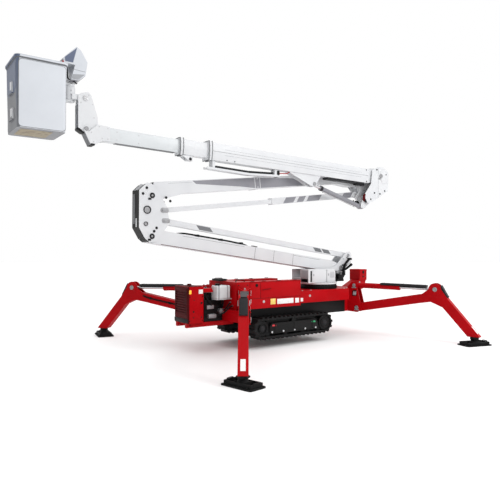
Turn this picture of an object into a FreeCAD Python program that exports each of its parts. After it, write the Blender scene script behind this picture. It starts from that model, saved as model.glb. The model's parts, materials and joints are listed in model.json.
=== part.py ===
import FreeCAD, Part
import math
import os

# Tracked spider lift on its four outriggers.
# +X points forward to the basket end, +Y to the machine's left, +Z up. All sizes are millimetres.
# The ground is Z = 0, and X = Y = 0 is the middle of the outriggers' footprint.

os.makedirs("parts", exist_ok=True)
V = FreeCAD.Vector
UP = V(0, 0, 1)

# Clearances and pins
RUN_FIT = 0.05
SEAT_GAP = 0.3
SIDE_GAP = 7.0
PIN_HEAD = 6.0
CUT_PAST = 10.0

# Chassis
FRAME_FRONT = 1173.0
FRAME_REAR = -1380.0
DECK_HALF_WIDTH = 400.0
DECK_BOTTOM = 670.0
DECK_TOP = 880.0
KEEL_HALF_WIDTH = 290.0
KEEL_BOTTOM = 440.0
CROSS_TUBE_SIZE = 120.0
CROSS_TUBE_X = (-460.0, 560.0)

# Tracks
TRACK_Y = 453.0
TRACK_WIDTH = 250.0
TRACK_GROUND = 143.0
TRACK_HEIGHT = 364.0
TRACK_FRONT = 951.0
TRACK_REAR = -781.0
SHOE_COUNT = 40
SHOE_HEIGHT = 24.0
BELT_THICKNESS = 28.0
ROLLER_RADIUS = 52.0
ROLLER_COUNT = 4
TRACK_FRAME_WIDTH = 110.0
# Half of the track beam's profile: distance past the wheel's centre, height from it
TRACK_BEAM_LOW = ((-60.0, -60.0), (20.0, -35.0))
TRACK_BEAM_HIGH = ((20.0, 35.0), (-60.0, 62.0))
WHEEL_SHARE = 0.36
FRONT_HUB_RADIUS = 62.0
REAR_HUB_RADIUS = 88.0
HUB_PROUD = 22.0
TRACK_ARM_HEIGHT = 110.0
TRACK_ARM_REACH = 20.0

# Side covers, bulkhead and engine end
COVER_THICKNESS = 20.0
COVER_FRONT = 920.0
COVER_REAR = -170.0
COVER_BOTTOM = 635.0
COVER_TOP = 1080.0
COVER_LID_WIDTH = 180.0
BULKHEAD_HALF_WIDTH = 420.0
ENGINE_BOX_FRONT = 1935.0
ENGINE_BOX_REAR = 1655.0
ENGINE_BOX_HALF_WIDTH = 228.0
ENGINE_BOX_BOTTOM = 460.0
ENGINE_BOX_TOP = 1025.0
LOUVRE_COUNT = 9
LOUVRE_DEPTH = 14.0
LOUVRE_TOP_GAP = 60.0
LOUVRE_FOOT_GAP = 160.0
LOUVRE_SIDE_GAP = 50.0
ENGINE_BOX_ROUNDING = 22.0
RAIL_HEIGHT = 70.0
RAIL_WIDTH = 60.0
RAIL_Y = 150.0
RAIL_TIE_LENGTH = 100.0
LASHING_X = 1880.0
LASHING_RADIUS = 14.0
ENGINE_LENGTH = 330.0
ENGINE_WIDTH = 330.0
ENGINE_HEIGHT = 340.0
ENGINE_GAP = 40.0
BELL_HALF_WIDTH = 90.0
BELL_Z = (580.0, 760.0)
TANK_X = (1210.0, 1460.0)
TANK_Y = (120.0, 300.0)
TANK_HEIGHT = 210.0
TANK_BOTTOM = 820.0
TANK_ROUNDING = 20.0
TANK_CAP_RADIUS = 32.0
TANK_CAP_HEIGHT = 28.0
TANK_CAP_SETBACK = 60.0
TANK_SHELF = 14.0
REST_X = 1090.0
REST_LENGTH = 150.0
REST_WIDTH = 220.0
REST_TOP = 1118.0
REST_PAD_HEIGHT = 34.0
# Post under the rest's pad: its foot runs back and its head is set in, from the pad's rear edge
REST_POST_FOOT = (-60.0, 70.0)
REST_POST_INSET = 15.0
REST_POST_MARGIN = 40.0
REAR_BOX_X = (-2150.0, -1950.0)
REAR_BOX_HALF_WIDTH = 135.0
REAR_BOX_Z = (1000.0, 1210.0)
# Bracket under the rear box: its depth at the frame, and its lower corner from the box's rear
REAR_BRACKET_DEPTH = 150.0
REAR_BRACKET_CORNER = (60.0, 40.0)
REAR_BRACKET_INSET = 20.0

# Outriggers
FRONT_LEG_X = 1140.0
FRONT_LEG_Y = 605.0
FRONT_LEG_ANGLE = 54.5
REAR_LEG_X = -1625.0
REAR_LEG_Y = 400.0
REAR_LEG_ANGLE = 110.6
LEG_REACH = 2080.0
LEG_WIDTH = 130.0
LEG_TOE = (-115.0, 85.0)
ROOT_PIN_Z = 515.0
ROOT_PIN_RADIUS = 30.0
ROOT_EYE_RADIUS = 78.0
KNEE_S = 1430.0
KNEE_Z = 909.0
KNEE_RADIUS = 108.0
# Underside and shin of the leg, and its neck before the knee, from the knee's pin
LEG_UNDERSIDE = ((-280.0, -254.0), (-70.0, -219.0), (130.0, -304.0))
LEG_SHIN = ((225.0, -164.0),)
LEG_NECK = ((-220.0, -86.0),)
KNEE_PLATE = 20.0
KNEE_SLOT_FLOOR = 792.0
KNEE_SLOT_BACK = 215.0
KNEE_SLOT_FRONT = 260.0
ANKLE_HEIGHT = 140.0
LEG_CYLINDER_S = -50.0
LEG_CYLINDER_Z = 930.0
LEG_CYLINDER_PIN = 25.0
LEG_BARREL_RADIUS = 50.0
LEG_BARREL_LENGTH = 850.0
LEG_GLAND_LENGTH = 60.0
LEG_GLAND_PROUD = 3.0
LEG_ROD_RADIUS = 25.0
LEG_ROD_INSIDE = 380.0
LEG_ROD_STROKE = 376.0
ROD_EYE_RADIUS = 46.0
GUARD_LENGTH = 830.0
GUARD_SETBACK = 150.0
GUARD_PLATE = 5.0
GUARD_SIDE_DROP = 28.0
GUARD_FOOT_LENGTH = 40.0
GUARD_FOOT_DROP = 17.0
BRACKET_PLATE = 16.0
BRACKET_BACK_PLATE = 24.0
# Edge of the leg brackets' plates, from the root pin and then from the cylinder's pin
BRACKET_FOOT = ((20.0, -87.0), (92.0, -40.0), (92.0, 40.0))
BRACKET_HEAD = ((68.0, -60.0), (58.0, 62.0), (-50.0, 62.0))
BRACKET_BACK_DROP = 40.0
KNEE_STUB_WALL = 12.0
FRONT_BRACKET_BACK = -160.0
REAR_BRACKET_BACK = -190.0
FRONT_CROSS_DEPTH = 97.0
FRONT_CROSS_TOP = 640.0
REAR_CROSS_DEPTH = 330.0
REAR_CROSS_HALF_WIDTH = 262.0
PAD_LENGTH = 500.0
PAD_WIDTH = 280.0
PAD_PLATE = 18.0
PAD_RIB = 16.0
PAD_RIB_HEIGHT = 62.0
PAD_ROUNDING = 35.0
PAD_CONE_RADIUS = 95.0
PAD_SETBACK = 15.0
PAD_CONE_HEIGHT = 72.0
# Places of the pad's ribs, as shares of its half length and half width
PAD_CROSS_RIBS = (-0.84, -0.3, 0.3, 0.84)
PAD_LONG_RIB = 0.72
PAD_LONG_RIB_LENGTH = 0.86
BALL_RADIUS = 52.0
FRONT_PAD_YAW = 101.0
REAR_PAD_YAW = 163.0

# Turret
SLEW_X = -960.0
RING_RADIUS = 345.0
RING_HOLE = 180.0
RING_TOP = 968.0
TURRET_PLATE = 24.0
TURRET_PLATE_PROUD = 10.0
CABINET_X = (-1190.0, -516.0)
CABINET_HALF_WIDTH = 232.0
CABINET_TOP = 1243.0
CABINET_SLOT_FLOOR = 1085.0
TOWER_FOOT_X = -1250.0
TOWER_WEB = 45.0
TOWER_FRONT_GAP = 5.0
TOWER_FRONT_DROP = 10.0
# Edge of the tower's plates, from the link's pin and from the arm's
TOWER_HEAD = ((-80.0, -150.0), (-90.0, 20.0), (-40.0, 72.0), (45.0, 60.0))
TOWER_FRONT = ((110.0, 60.0),)
TOWER_WEB_TOP = ((-76.0, -150.0), (-80.0, -90.0), (-66.0, -90.0), (-62.0, -156.0))

# Pantograph: each arm and its link make a parallelogram, pins as (x, z)
ARM_Y = -105.0
ARM_WIDTH = 200.0
ARM_DEPTH = 218.0
ARM_OFFSET = 5.0
PIN_HEAD_SHARE = 1.5
SIDE_PLATE = 10.0
ARM_PIN_RADIUS = 35.0
LINK_PIN_RADIUS = 22.0
OPEN_PIN_GAP = 1.0
KNUCKLE_ARM_PIN = (2437.0, 1802.0)
KNUCKLE_LINK_PIN = (2231.0, 2044.0)
TOWER_LINK_PIN = (-1753.0, 1492.0)
TOWER_ARM_PIN = (
    TOWER_LINK_PIN[0] + KNUCKLE_ARM_PIN[0] - KNUCKLE_LINK_PIN[0],
    TOWER_LINK_PIN[1] + KNUCKLE_ARM_PIN[1] - KNUCKLE_LINK_PIN[1],
)
UPPER_ARM_PIN = (2432.0, 2419.0)
UPPER_LINK_PIN = (2253.0, 2204.0)
HEAD_LINK_PIN = (-2257.0, 2735.0)
HEAD_ARM_PIN = (
    HEAD_LINK_PIN[0] + UPPER_ARM_PIN[0] - UPPER_LINK_PIN[0],
    HEAD_LINK_PIN[1] + UPPER_ARM_PIN[1] - UPPER_LINK_PIN[1],
)
LOWER_EYE = 60.0
LOWER_TAPER = 400.0
LOWER_TAPER_TOP = 240.0
UPPER_EYE = 84.0
# Upper arm's edge from its two pins: distance along, height above the pins' line
UPPER_REAR_BELLY = ((0.0, -84.0), (250.0, -67.0), (560.0, 0.0))
UPPER_FRONT_BELLY = ((-565.0, 0.0), (-102.0, -76.0), (0.0, -84.0), (88.0, 60.0), (-32.0, 204.0))
UPPER_REAR_TOP = ((-20.0, 204.0), (-84.0, 70.0))
LOWER_LINK_DEPTH = 92.0
UPPER_LINK_FRONT_DEPTH = 76.0
UPPER_LINK_REAR_DEPTH = 114.0
UPPER_LINK_COLLAR_X = 100.0
LINK_WIDTH = 120.0
LINK_EYE = 50.0
LINK_INSET = 10.0
# Edge of the knuckle's plates, from its four pins in turn
KNUCKLE_TOP = ((8.0, 181.0), (83.0, 192.0), (144.0, 144.0), (217.0, 72.0))
KNUCKLE_FOOT = ((216.0, 129.0), (123.0, -32.0), (53.0, -90.0), (-57.0, -90.0))
KNUCKLE_HEEL = ((-76.0, -59.0), (-81.0, 16.0))
KNUCKLE_BACK = ((-75.0, 36.0), (67.0, 276.0))
KNUCKLE_WEB = (200.0, 212.0)
KNUCKLE_WEB_FOOT = 188.0
KNUCKLE_WEB_TOP = -19.0

# Head and boom
BOOM_Y = 124.0
BOOM_TILT = 1.64
BOOM_ROOT = (-2450.0, 3080.0)
BOOM_ROOT_PIN_RADIUS = 32.0
BOOM_REAR_X = -2120.0
BOOM_AXIS_DROP = 28.0
BOOM_TAIL = ((60.0, -60.0), (-60.0, -30.0), (-70.0, 60.0), (0.0, 98.0))
OUTER_FRONT_X = 1560.0
OUTER_HEIGHT = 280.0
OUTER_WIDTH = 196.0
MID_FRONT_X = 2064.0
MID_REAR_X = -1900.0
MID_HEIGHT = 238.0
MID_WIDTH = 160.0
INNER_FRONT_X = 3272.0
INNER_REAR_X = -1300.0
INNER_HEIGHT = 206.0
INNER_WIDTH = 130.0
BOOM_WALL = 8.0
MID_WALL = 6.0
OUTER_PLUG = 60.0
INNER_PLUG = 30.0
COLLAR_LENGTH = 62.0
COLLAR_PROUD = 9.0
FOLD_BULGE = 17.0
# Hose tray below the boom: distance from the root pin, drop below the boom's underside
TRAY_LINE = ((2551.0, 97.0), (3190.0, 136.0), (4016.0, 123.0))
TRAY_DEPTH = 22.0
TRAY_HALF_WIDTH = 55.0
TRAY_REAR_POST = (0.0, 110.0)
TRAY_FRONT_POST = (-150.0, -100.0)
SLIDE_POST_X = 1820.0
SLIDE_POST_LENGTH = 90.0
SLIDE_POST_DROP = 82.0
SLIDE_POST_HALF_WIDTH = 50.0
LUFF_BASE = (-1975.0, 2450.0)
LUFF_TIP = (-705.0, 2801.0)
LUFF_BARREL_RADIUS = 42.0
LUFF_ROD_RADIUS = 26.0
LUFF_ROD_SHOWS = 198.0
LUFF_ROD_INSIDE = 1040.0
LUFF_LENGTH = math.hypot(LUFF_TIP[0] - LUFF_BASE[0], LUFF_TIP[1] - LUFF_BASE[1])
LUFF_BARREL_LENGTH = LUFF_LENGTH - LUFF_ROD_SHOWS
LUFF_PIN_RADIUS = 22.0
LUFF_EYE_RADIUS = 47.0
LUFF_EYE_WIDTH = 90.0
LUFF_TIP_GAP = 7.0
LUFF_LUG_PLATE = 10.0
# Boom's lugs for the luff cylinder: edge along the boom's underside, and about the pin
LUFF_LUG_ROOT = ((-150.0, 1.0), (600.0, 1.0), (560.0, -30.0))
LUFF_LUG_TIP = ((60.0, -45.0), (-50.0, -40.0), (-60.0, 30.0))
HEAD_NEAR_Y = 230.0
HEAD_PLATE = 12.0
# Edges of the head's plates, from the boom's root pin, the link's, the luff cylinder's and the arm's
HEAD_CROWN = ((251.0, 95.0), (99.0, 172.0), (-54.0, 186.0), (-236.0, 86.0))
HEAD_BACK = ((-402.0, 53.0),)
HEAD_BELLY = ((21.0, -171.0),)
HEAD_ARM_BELLY = ((21.0, -135.0),)
HEAD_CHIN = ((-96.0, 62.0), (13.0, 217.0))
HEAD_THROAT = ((-85.0, -44.0),)
HEAD_MIDDLE_THROAT = ((23.0, -170.0),)
HEAD_FACE = ((93.0, -90.0), (103.0, 10.0), (68.0, 90.0))
HEAD_WEB_TOP = ((-232.0, 70.0), (-216.0, 74.0))
HEAD_WEB_FOOT = ((-383.0, 71.0), (-399.0, 63.0))
HEAD_FLOOR = ((-383.0, 47.0), (21.0, -167.0), (17.0, -151.0), (-375.0, 59.0))
HEAD_LUG = ((-251.0, 125.0), (-40.0, -45.0), (45.0, -20.0), (45.0, 40.0), (-25.0, 190.0), (-175.0, 250.0))
HEAD_LUG_WEB = ((-247.0, 120.0), (-175.0, 97.0), (-155.0, 150.0), (-237.0, 180.0))

# Jib, rotator and basket
JIB_LOW_PIN = (3491.0, 3254.0)
JIB_TOP_PIN = (3501.0, 3669.0)
JIB_PIN_RADIUS = 20.0
JIB_PLATE = 12.0
# Edge of the jib and of its pocket, from its top pin and its low pin
JIB_HEAD = ((99.0, -87.0), (99.0, 31.0), (59.0, 66.0), (-44.0, 94.0), (-83.0, 48.0))
JIB_FOOT = ((-161.0, 176.0), (-167.0, 81.0), (-34.0, -58.0), (49.0, -54.0), (109.0, -19.0))
JIB_POCKET = ((139.0, -79.0), (139.0, 131.0), (-121.0, 131.0), (-106.0, -69.0))
# Boom's tip plates and the plug between them, from the jib's low pin
TIP_PLATE = 12.0
TIP_EDGE = (
    (-333.0, 64.0), (-154.0, 76.0), (-27.0, -39.0), (36.0, 10.0), (30.0, -40.0), (-57.0, -211.0),
    (-115.0, -214.0), (-214.0, -144.0), (-333.0, -134.0),
)
TIP_PLUG = (
    (-214.0, -138.0), (-214.0, 60.0), (-161.0, 62.0), (-131.0, -4.0), (-115.0, -194.0), (-151.0, -186.0),
)
ROTATOR_X = 3675.0
ROTATOR_Y = 60.0
ROTATOR_RADIUS = 62.0
ROTATOR_Z = (3630.0, 3835.0)
ROTATOR_EAR_RADIUS = 44.0
ROTATOR_NECK = (-29.0, 43.0)
BASKET_REACH = 415.0
BASKET_X = ROTATOR_X + BASKET_REACH
BASKET_Y = -25.0
BASKET_HEIGHT = 905.0
BASKET_RIM_RISE = 215.0
BASKET_BASE = ROTATOR_Z[1] + BASKET_RIM_RISE - BASKET_HEIGHT
BASKET_LENGTH = 602.0
BASKET_WIDTH = 622.0
BASKET_TAPER = 16.0
BASKET_WALL = 10.0
BASKET_CORNER = 55.0
RIM_PROUD = 16.0
RIM_HEIGHT = 22.0
STEP_LENGTH = 190.0
STEP_HEIGHT = 150.0
STEP_PROUD = 22.0
STEP_RISE = (130.0, 470.0)
MOUNT_PLATE = 16.0
MOUNT_Y = (-130.0, 150.0)
MOUNT_Z = (-85.0, 380.0)
MOUNT_ARM = 14.0
MOUNT_ARM_HALF_WIDTH = 55.0
HOOD_WIDTH = 340.0
HOOD_Y = 20.0
HOOD_WALL = 10.0
HOOD_SHELF_RISE = 54.0
# Edge of the control hood and of its open pocket, from the middle of the rotator's top
HOOD_EDGE = (
    (-53.0, 513.0), (130.0, 322.0), (115.0, 265.0), (-30.0, 259.0), (23.0, 54.0), (-77.0, 54.0),
    (-173.0, 133.0), (-202.0, 323.0), (-115.0, 470.0),
)
HOOD_POCKET = (
    (-108.0, 455.0), (-25.0, 512.5), (126.0, 354.0), (106.0, 277.0), (-70.0, 270.0), (-170.0, 305.0),
    (-187.0, 327.0),
)


# Solids
def box(x0, x1, y0, y1, z0, z1):
    return Part.makeBox(x1 - x0, y1 - y0, z1 - z0, V(x0, y0, z0))


def slab(points, y0, y1):
    """Closed outline of (x, z) points, extruded along Y."""
    corners = [V(x, y0, z) for x, z in points]
    face = Part.Face(Part.makePolygon(corners + corners[:1]))
    return face.extrude(V(0, y1 - y0, 0))


def rod_y(pin, radius, y0, y1):
    """Cylinder along Y about the pin (x, z)."""
    return Part.makeCylinder(radius, y1 - y0, V(pin[0], y0, pin[1]), V(0, 1, 0))


def rod_between(start, end, radius):
    return Part.makeCylinder(radius, (end - start).Length, start, end - start)


def about(pin, offsets):
    """Points (x, z) at the given offsets from a pin."""
    return [(pin[0] + across, pin[1] + up) for across, up in offsets]


def join(shapes):
    whole = shapes[0].multiFuse(list(shapes[1:]))
    return whole.removeSplitter()


def save(name, shape):
    solids = shape.Solids
    if len(solids) == 1:
        shape = solids[0]
    shape.exportStep("parts/" + name + ".step")


# Tracks
def loop_point(distance, offset):
    """Point on the track's loop, at a distance along its root line, moved outward by offset."""
    radius = TRACK_HEIGHT / 2 - SHOE_HEIGHT
    middle_z = TRACK_GROUND + TRACK_HEIGHT / 2
    front = TRACK_FRONT - TRACK_HEIGHT / 2
    rear = TRACK_REAR + TRACK_HEIGHT / 2
    straight = front - rear
    turn = math.pi * radius
    distance = distance % (2 * straight + 2 * turn)
    if distance < straight:
        return rear + distance, middle_z + radius + offset
    distance -= straight
    if distance < turn:
        angle = math.pi / 2 - distance / radius
        centre = front
    elif distance < turn + straight:
        return front - (distance - turn), middle_z - radius - offset
    else:
        angle = -math.pi / 2 - (distance - turn - straight) / radius
        centre = rear
    reach = radius + offset
    return centre + reach * math.cos(angle), middle_z + reach * math.sin(angle)


def stadium(offset, y0, y1):
    """Plain loop at the given offset from the root line."""
    radius = TRACK_HEIGHT / 2 - SHOE_HEIGHT + offset
    middle_z = TRACK_GROUND + TRACK_HEIGHT / 2
    front = TRACK_FRONT - TRACK_HEIGHT / 2
    rear = TRACK_REAR + TRACK_HEIGHT / 2
    middle = box(rear, front, y0, y1, middle_z - radius, middle_z + radius)
    ends = [rod_y((x, middle_z), radius, y0, y1) for x in (front, rear)]
    return join([middle] + ends)


def track_belt(side):
    y0 = side * TRACK_Y - TRACK_WIDTH / 2
    y1 = y0 + TRACK_WIDTH
    radius = TRACK_HEIGHT / 2 - SHOE_HEIGHT
    straight = TRACK_FRONT - TRACK_REAR - TRACK_HEIGHT
    pitch = (2 * straight + 2 * math.pi * radius) / SHOE_COUNT
    # One shoe: share of the pitch, share of the shoe's height
    shoe = ((0.00, 0.0), (0.24, 0.0), (0.34, 1.0), (0.66, 1.0), (0.76, 0.0))
    outline = [
        loop_point((i + share) * pitch, height * SHOE_HEIGHT)
        for i in range(SHOE_COUNT)
        for share, height in shoe
    ]
    return slab(outline, y0, y1).cut(stadium(-BELT_THICKNESS, y0 - 1, y1 + 1))


def track_frame(side):
    middle_z = TRACK_GROUND + TRACK_HEIGHT / 2
    inside = TRACK_HEIGHT / 2 - SHOE_HEIGHT - BELT_THICKNESS - SEAT_GAP
    front = TRACK_FRONT - TRACK_HEIGHT / 2
    rear = TRACK_REAR + TRACK_HEIGHT / 2
    half = TRACK_FRAME_WIDTH / 2
    y = side * TRACK_Y
    wheel_half = TRACK_WIDTH * WHEEL_SHARE
    edge = about((0, middle_z), TRACK_BEAM_LOW + TRACK_BEAM_HIGH)
    outline = [(front + past, z) for past, z in edge] + [(rear - past, z) for past, z in reversed(edge)]
    beam = slab(outline, y - half, y + half)
    wheels = []
    for x, hub in ((front, FRONT_HUB_RADIUS), (rear, REAR_HUB_RADIUS)):
        wheels.append(rod_y((x, middle_z), inside, y - wheel_half, y + wheel_half))
        wheels.append(rod_y((x, middle_z), hub, y - wheel_half - HUB_PROUD, y + wheel_half + HUB_PROUD))
    roller_z = middle_z - inside + ROLLER_RADIUS
    span = front - rear - 2 * inside
    step = span / (ROLLER_COUNT - 1)
    first = rear + inside
    for i in range(ROLLER_COUNT):
        wheels.append(rod_y((first + i * step, roller_z), ROLLER_RADIUS, y - wheel_half, y + wheel_half))
    top_z = middle_z + inside - ROLLER_RADIUS
    wheels.append(rod_y(((front + rear) / 2, top_z), ROLLER_RADIUS, y - wheel_half, y + wheel_half))
    inner = side * (TRACK_Y - half)
    outer = side * (KEEL_HALF_WIDTH + TRACK_ARM_REACH)
    arms = [
        box(x - CROSS_TUBE_SIZE / 2, x + CROSS_TUBE_SIZE / 2, min(inner, outer), max(inner, outer),
            middle_z - TRACK_ARM_HEIGHT / 2, middle_z + TRACK_ARM_HEIGHT / 2)
        for x in CROSS_TUBE_X
    ]
    return join([beam] + wheels + arms)


# Outriggers: the leg's own plane has s outward from the root pin, and lateral across it
LEGS = (
    # name, root x, root y, plan angle, pad yaw
    ("front_left", FRONT_LEG_X, FRONT_LEG_Y, FRONT_LEG_ANGLE, FRONT_PAD_YAW),
    ("front_right", FRONT_LEG_X, -FRONT_LEG_Y, -FRONT_LEG_ANGLE, -FRONT_PAD_YAW),
    ("rear_left", REAR_LEG_X, REAR_LEG_Y, REAR_LEG_ANGLE, REAR_PAD_YAW),
    ("rear_right", REAR_LEG_X, -REAR_LEG_Y, -REAR_LEG_ANGLE, -REAR_PAD_YAW),
)


def to_leg(shape, leg):
    """Puts a solid made with s along X and lateral along Y at the leg's root."""
    name, x, y, angle, yaw = leg
    placed = shape.copy()
    placed.rotate(V(0, 0, 0), UP, angle)
    placed.translate(V(x, y, 0))
    return placed


def leg_arm():
    half = LEG_WIDTH / 2
    knee = (KNEE_S, KNEE_Z)
    outline = [
        (0, ROOT_PIN_Z - ROOT_EYE_RADIUS),
        *about(knee, LEG_UNDERSIDE),
        (LEG_REACH + LEG_TOE[0], ANKLE_HEIGHT),
        (LEG_REACH + LEG_TOE[1], ANKLE_HEIGHT),
        *about(knee, LEG_SHIN),
        (KNEE_S + KNEE_RADIUS, KNEE_Z),
        (KNEE_S - KNEE_RADIUS, KNEE_Z),
        *about(knee, LEG_NECK),
        (0, ROOT_PIN_Z + ROOT_EYE_RADIUS),
    ]
    arm = join([
        slab(outline, -half, half),
        rod_y((0, ROOT_PIN_Z), ROOT_EYE_RADIUS, -half, half),
        rod_y((KNEE_S, KNEE_Z), KNEE_RADIUS, -half, half),
    ])
    slot_half = half - KNEE_PLATE
    slot = box(KNEE_S - KNEE_SLOT_BACK, KNEE_S + KNEE_SLOT_FRONT, -slot_half, slot_half,
               KNEE_SLOT_FLOOR, KNEE_Z + KNEE_RADIUS + CUT_PAST)
    arm = arm.cut(slot)
    arm = arm.cut(rod_y((0, ROOT_PIN_Z), ROOT_PIN_RADIUS + RUN_FIT, -half - 1, half + 1))
    stubs = []
    for face in (-1, 1):
        a = face * slot_half
        b = face * (half + PIN_HEAD)
        stubs.append(rod_y((KNEE_S, KNEE_Z), LEG_CYLINDER_PIN + KNEE_STUB_WALL, min(a, b), max(a, b)))
    return join([arm] + stubs)


def leg_pad(yaw_from_leg):
    half_l = PAD_LENGTH / 2
    half_w = PAD_WIDTH / 2
    plate = box(-half_l, half_l, -half_w, half_w, 0, PAD_PLATE)
    along = [e for e in plate.Edges if abs(e.tangentAt(e.FirstParameter).z) > 0.99]
    pieces = [plate.makeFillet(PAD_ROUNDING, along)]
    rib_y = half_w * PAD_LONG_RIB
    rib_x = half_l * PAD_LONG_RIB_LENGTH
    for y in (-rib_y, rib_y):
        pieces.append(box(-rib_x, rib_x, y - PAD_RIB / 2, y + PAD_RIB / 2, PAD_PLATE, PAD_RIB_HEIGHT))
    for share in PAD_CROSS_RIBS:
        x = half_l * share
        pieces.append(box(x - PAD_RIB / 2, x + PAD_RIB / 2, -rib_y, rib_y, PAD_PLATE, PAD_RIB_HEIGHT))
    pieces.append(Part.makeCone(PAD_CONE_RADIUS, BALL_RADIUS, PAD_CONE_HEIGHT, V(0, 0, PAD_PLATE)))
    pieces.append(Part.makeCylinder(BALL_RADIUS, ANKLE_HEIGHT - PAD_RIB_HEIGHT, V(0, 0, PAD_RIB_HEIGHT)))
    pad = join(pieces)
    pad.rotate(V(0, 0, 0), UP, yaw_from_leg)
    pad.translate(V(LEG_REACH - PAD_SETBACK, 0, 0))
    return pad


def cylinder_line(shape, base, tip):
    """Turns a solid made along X from the origin so that it runs from base to tip, both (x, z)."""
    angle = math.degrees(math.atan2(tip[1] - base[1], tip[0] - base[0]))
    shape.rotate(V(0, 0, 0), V(0, -1, 0), angle)
    shape.translate(V(base[0], 0, base[1]))
    return shape


def leg_barrel():
    eye_half = LEG_WIDTH / 2
    barrel = join([
        rod_y((0, 0), ROD_EYE_RADIUS, -eye_half, eye_half),
        rod_between(V(0, 0, 0), V(LEG_BARREL_LENGTH, 0, 0), LEG_BARREL_RADIUS),
        rod_between(V(LEG_BARREL_LENGTH - LEG_GLAND_LENGTH, 0, 0), V(LEG_BARREL_LENGTH, 0, 0),
                    LEG_BARREL_RADIUS + LEG_GLAND_PROUD),
    ])
    bore = rod_between(V(LEG_BARREL_LENGTH - LEG_ROD_INSIDE - LEG_ROD_STROKE - SIDE_GAP, 0, 0),
                       V(LEG_BARREL_LENGTH + 1, 0, 0), LEG_ROD_RADIUS + RUN_FIT * 6)
    barrel = barrel.cut(bore)
    barrel = barrel.cut(rod_y((0, 0), LEG_CYLINDER_PIN + RUN_FIT, -eye_half - 1, eye_half + 1))
    return cylinder_line(barrel, (LEG_CYLINDER_S, LEG_CYLINDER_Z), (KNEE_S, KNEE_Z))


def leg_rod():
    length = math.hypot(KNEE_S - LEG_CYLINDER_S, KNEE_Z - LEG_CYLINDER_Z)
    eye_half = LEG_WIDTH / 2 - KNEE_PLATE - SIDE_GAP
    guard_end = length - GUARD_SETBACK
    guard_half = LEG_BARREL_RADIUS + LEG_GLAND_PROUD + SIDE_GAP
    pieces = [
        rod_between(V(LEG_BARREL_LENGTH - LEG_ROD_INSIDE, 0, 0), V(length, 0, 0), LEG_ROD_RADIUS),
        rod_y((length, 0), ROD_EYE_RADIUS, -eye_half, eye_half),
        box(guard_end - GUARD_LENGTH, guard_end, -guard_half, guard_half, guard_half, guard_half + GUARD_PLATE),
        box(guard_end - GUARD_FOOT_LENGTH, guard_end, -guard_half, guard_half, GUARD_FOOT_DROP, guard_half),
    ]
    for y in (-guard_half, guard_half - GUARD_PLATE):
        pieces.append(box(guard_end - GUARD_LENGTH, guard_end, y, y + GUARD_PLATE, GUARD_SIDE_DROP, guard_half))
    rod = join(pieces)
    rod = rod.cut(rod_y((length, 0), LEG_CYLINDER_PIN, -eye_half - 1, eye_half + 1))
    return cylinder_line(rod, (LEG_CYLINDER_S, LEG_CYLINDER_Z), (KNEE_S, KNEE_Z))


def leg_bracket(back_s):
    """Two tall plates with the leg's root pin and the cylinder's pin, closed at the back."""
    half = LEG_WIDTH / 2 + SIDE_GAP
    back_top = LEG_CYLINDER_Z - BRACKET_BACK_DROP
    outline = [
        (back_s, KEEL_BOTTOM),
        *about((0, ROOT_PIN_Z), BRACKET_FOOT),
        *about((LEG_CYLINDER_S, LEG_CYLINDER_Z), BRACKET_HEAD),
        (back_s, back_top),
    ]
    pieces = [
        slab(outline, -half - BRACKET_PLATE, -half),
        slab(outline, half, half + BRACKET_PLATE),
        box(back_s, back_s + BRACKET_BACK_PLATE, -half - 1, half + 1, KEEL_BOTTOM, back_top),
    ]
    reach = half + BRACKET_PLATE + PIN_HEAD
    pieces.append(rod_y((0, ROOT_PIN_Z), ROOT_PIN_RADIUS, -reach, reach))
    pieces.append(rod_y((LEG_CYLINDER_S, LEG_CYLINDER_Z), LEG_CYLINDER_PIN, -reach, reach))
    return join(pieces)


for leg in LEGS:
    name, root_x, root_y, angle, yaw = leg
    save("leg_" + name, to_leg(leg_arm(), leg))
    save("pad_" + name, to_leg(leg_pad(yaw - angle), leg))
    save("leg_barrel_" + name, to_leg(leg_barrel(), leg))
    save("leg_rod_" + name, to_leg(leg_rod(), leg))


# Chassis
def main_frame():
    middle_z = TRACK_GROUND + TRACK_HEIGHT / 2
    half = CROSS_TUBE_SIZE / 2
    reach = KEEL_HALF_WIDTH + TRACK_ARM_REACH
    pieces = [
        box(FRAME_REAR, FRAME_FRONT, -KEEL_HALF_WIDTH, KEEL_HALF_WIDTH, KEEL_BOTTOM, DECK_BOTTOM + 1),
        box(FRAME_REAR, COVER_FRONT, -DECK_HALF_WIDTH, DECK_HALF_WIDTH, DECK_BOTTOM, DECK_TOP),
        box(COVER_FRONT, FRAME_FRONT, -BULKHEAD_HALF_WIDTH, BULKHEAD_HALF_WIDTH, COVER_BOTTOM, COVER_TOP),
    ]
    for x in CROSS_TUBE_X:
        pieces.append(box(x - half, x + half, -reach, reach, middle_z - half, middle_z + half))
        pieces.append(box(x - half, x + half, -KEEL_HALF_WIDTH, KEEL_HALF_WIDTH,
                          middle_z, KEEL_BOTTOM + 1))
    return join(pieces)


def engine_rails():
    """Two rails under the engine end, joined below the keel, with a lashing hole through each."""
    bottom = ENGINE_BOX_BOTTOM - RAIL_HEIGHT
    outer = RAIL_Y + RAIL_WIDTH / 2
    pieces = [box(FRAME_FRONT - RAIL_TIE_LENGTH, FRAME_FRONT, -outer, outer, bottom, KEEL_BOTTOM)]
    for y in (-RAIL_Y, RAIL_Y):
        pieces.append(box(FRAME_FRONT, ENGINE_BOX_FRONT, y - RAIL_WIDTH / 2, y + RAIL_WIDTH / 2,
                          bottom, ENGINE_BOX_BOTTOM))
    rails = join(pieces)
    hole = rod_y((LASHING_X, bottom + RAIL_HEIGHT / 2), LASHING_RADIUS, -outer - 1, outer + 1)
    return rails.cut(hole)


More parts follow.
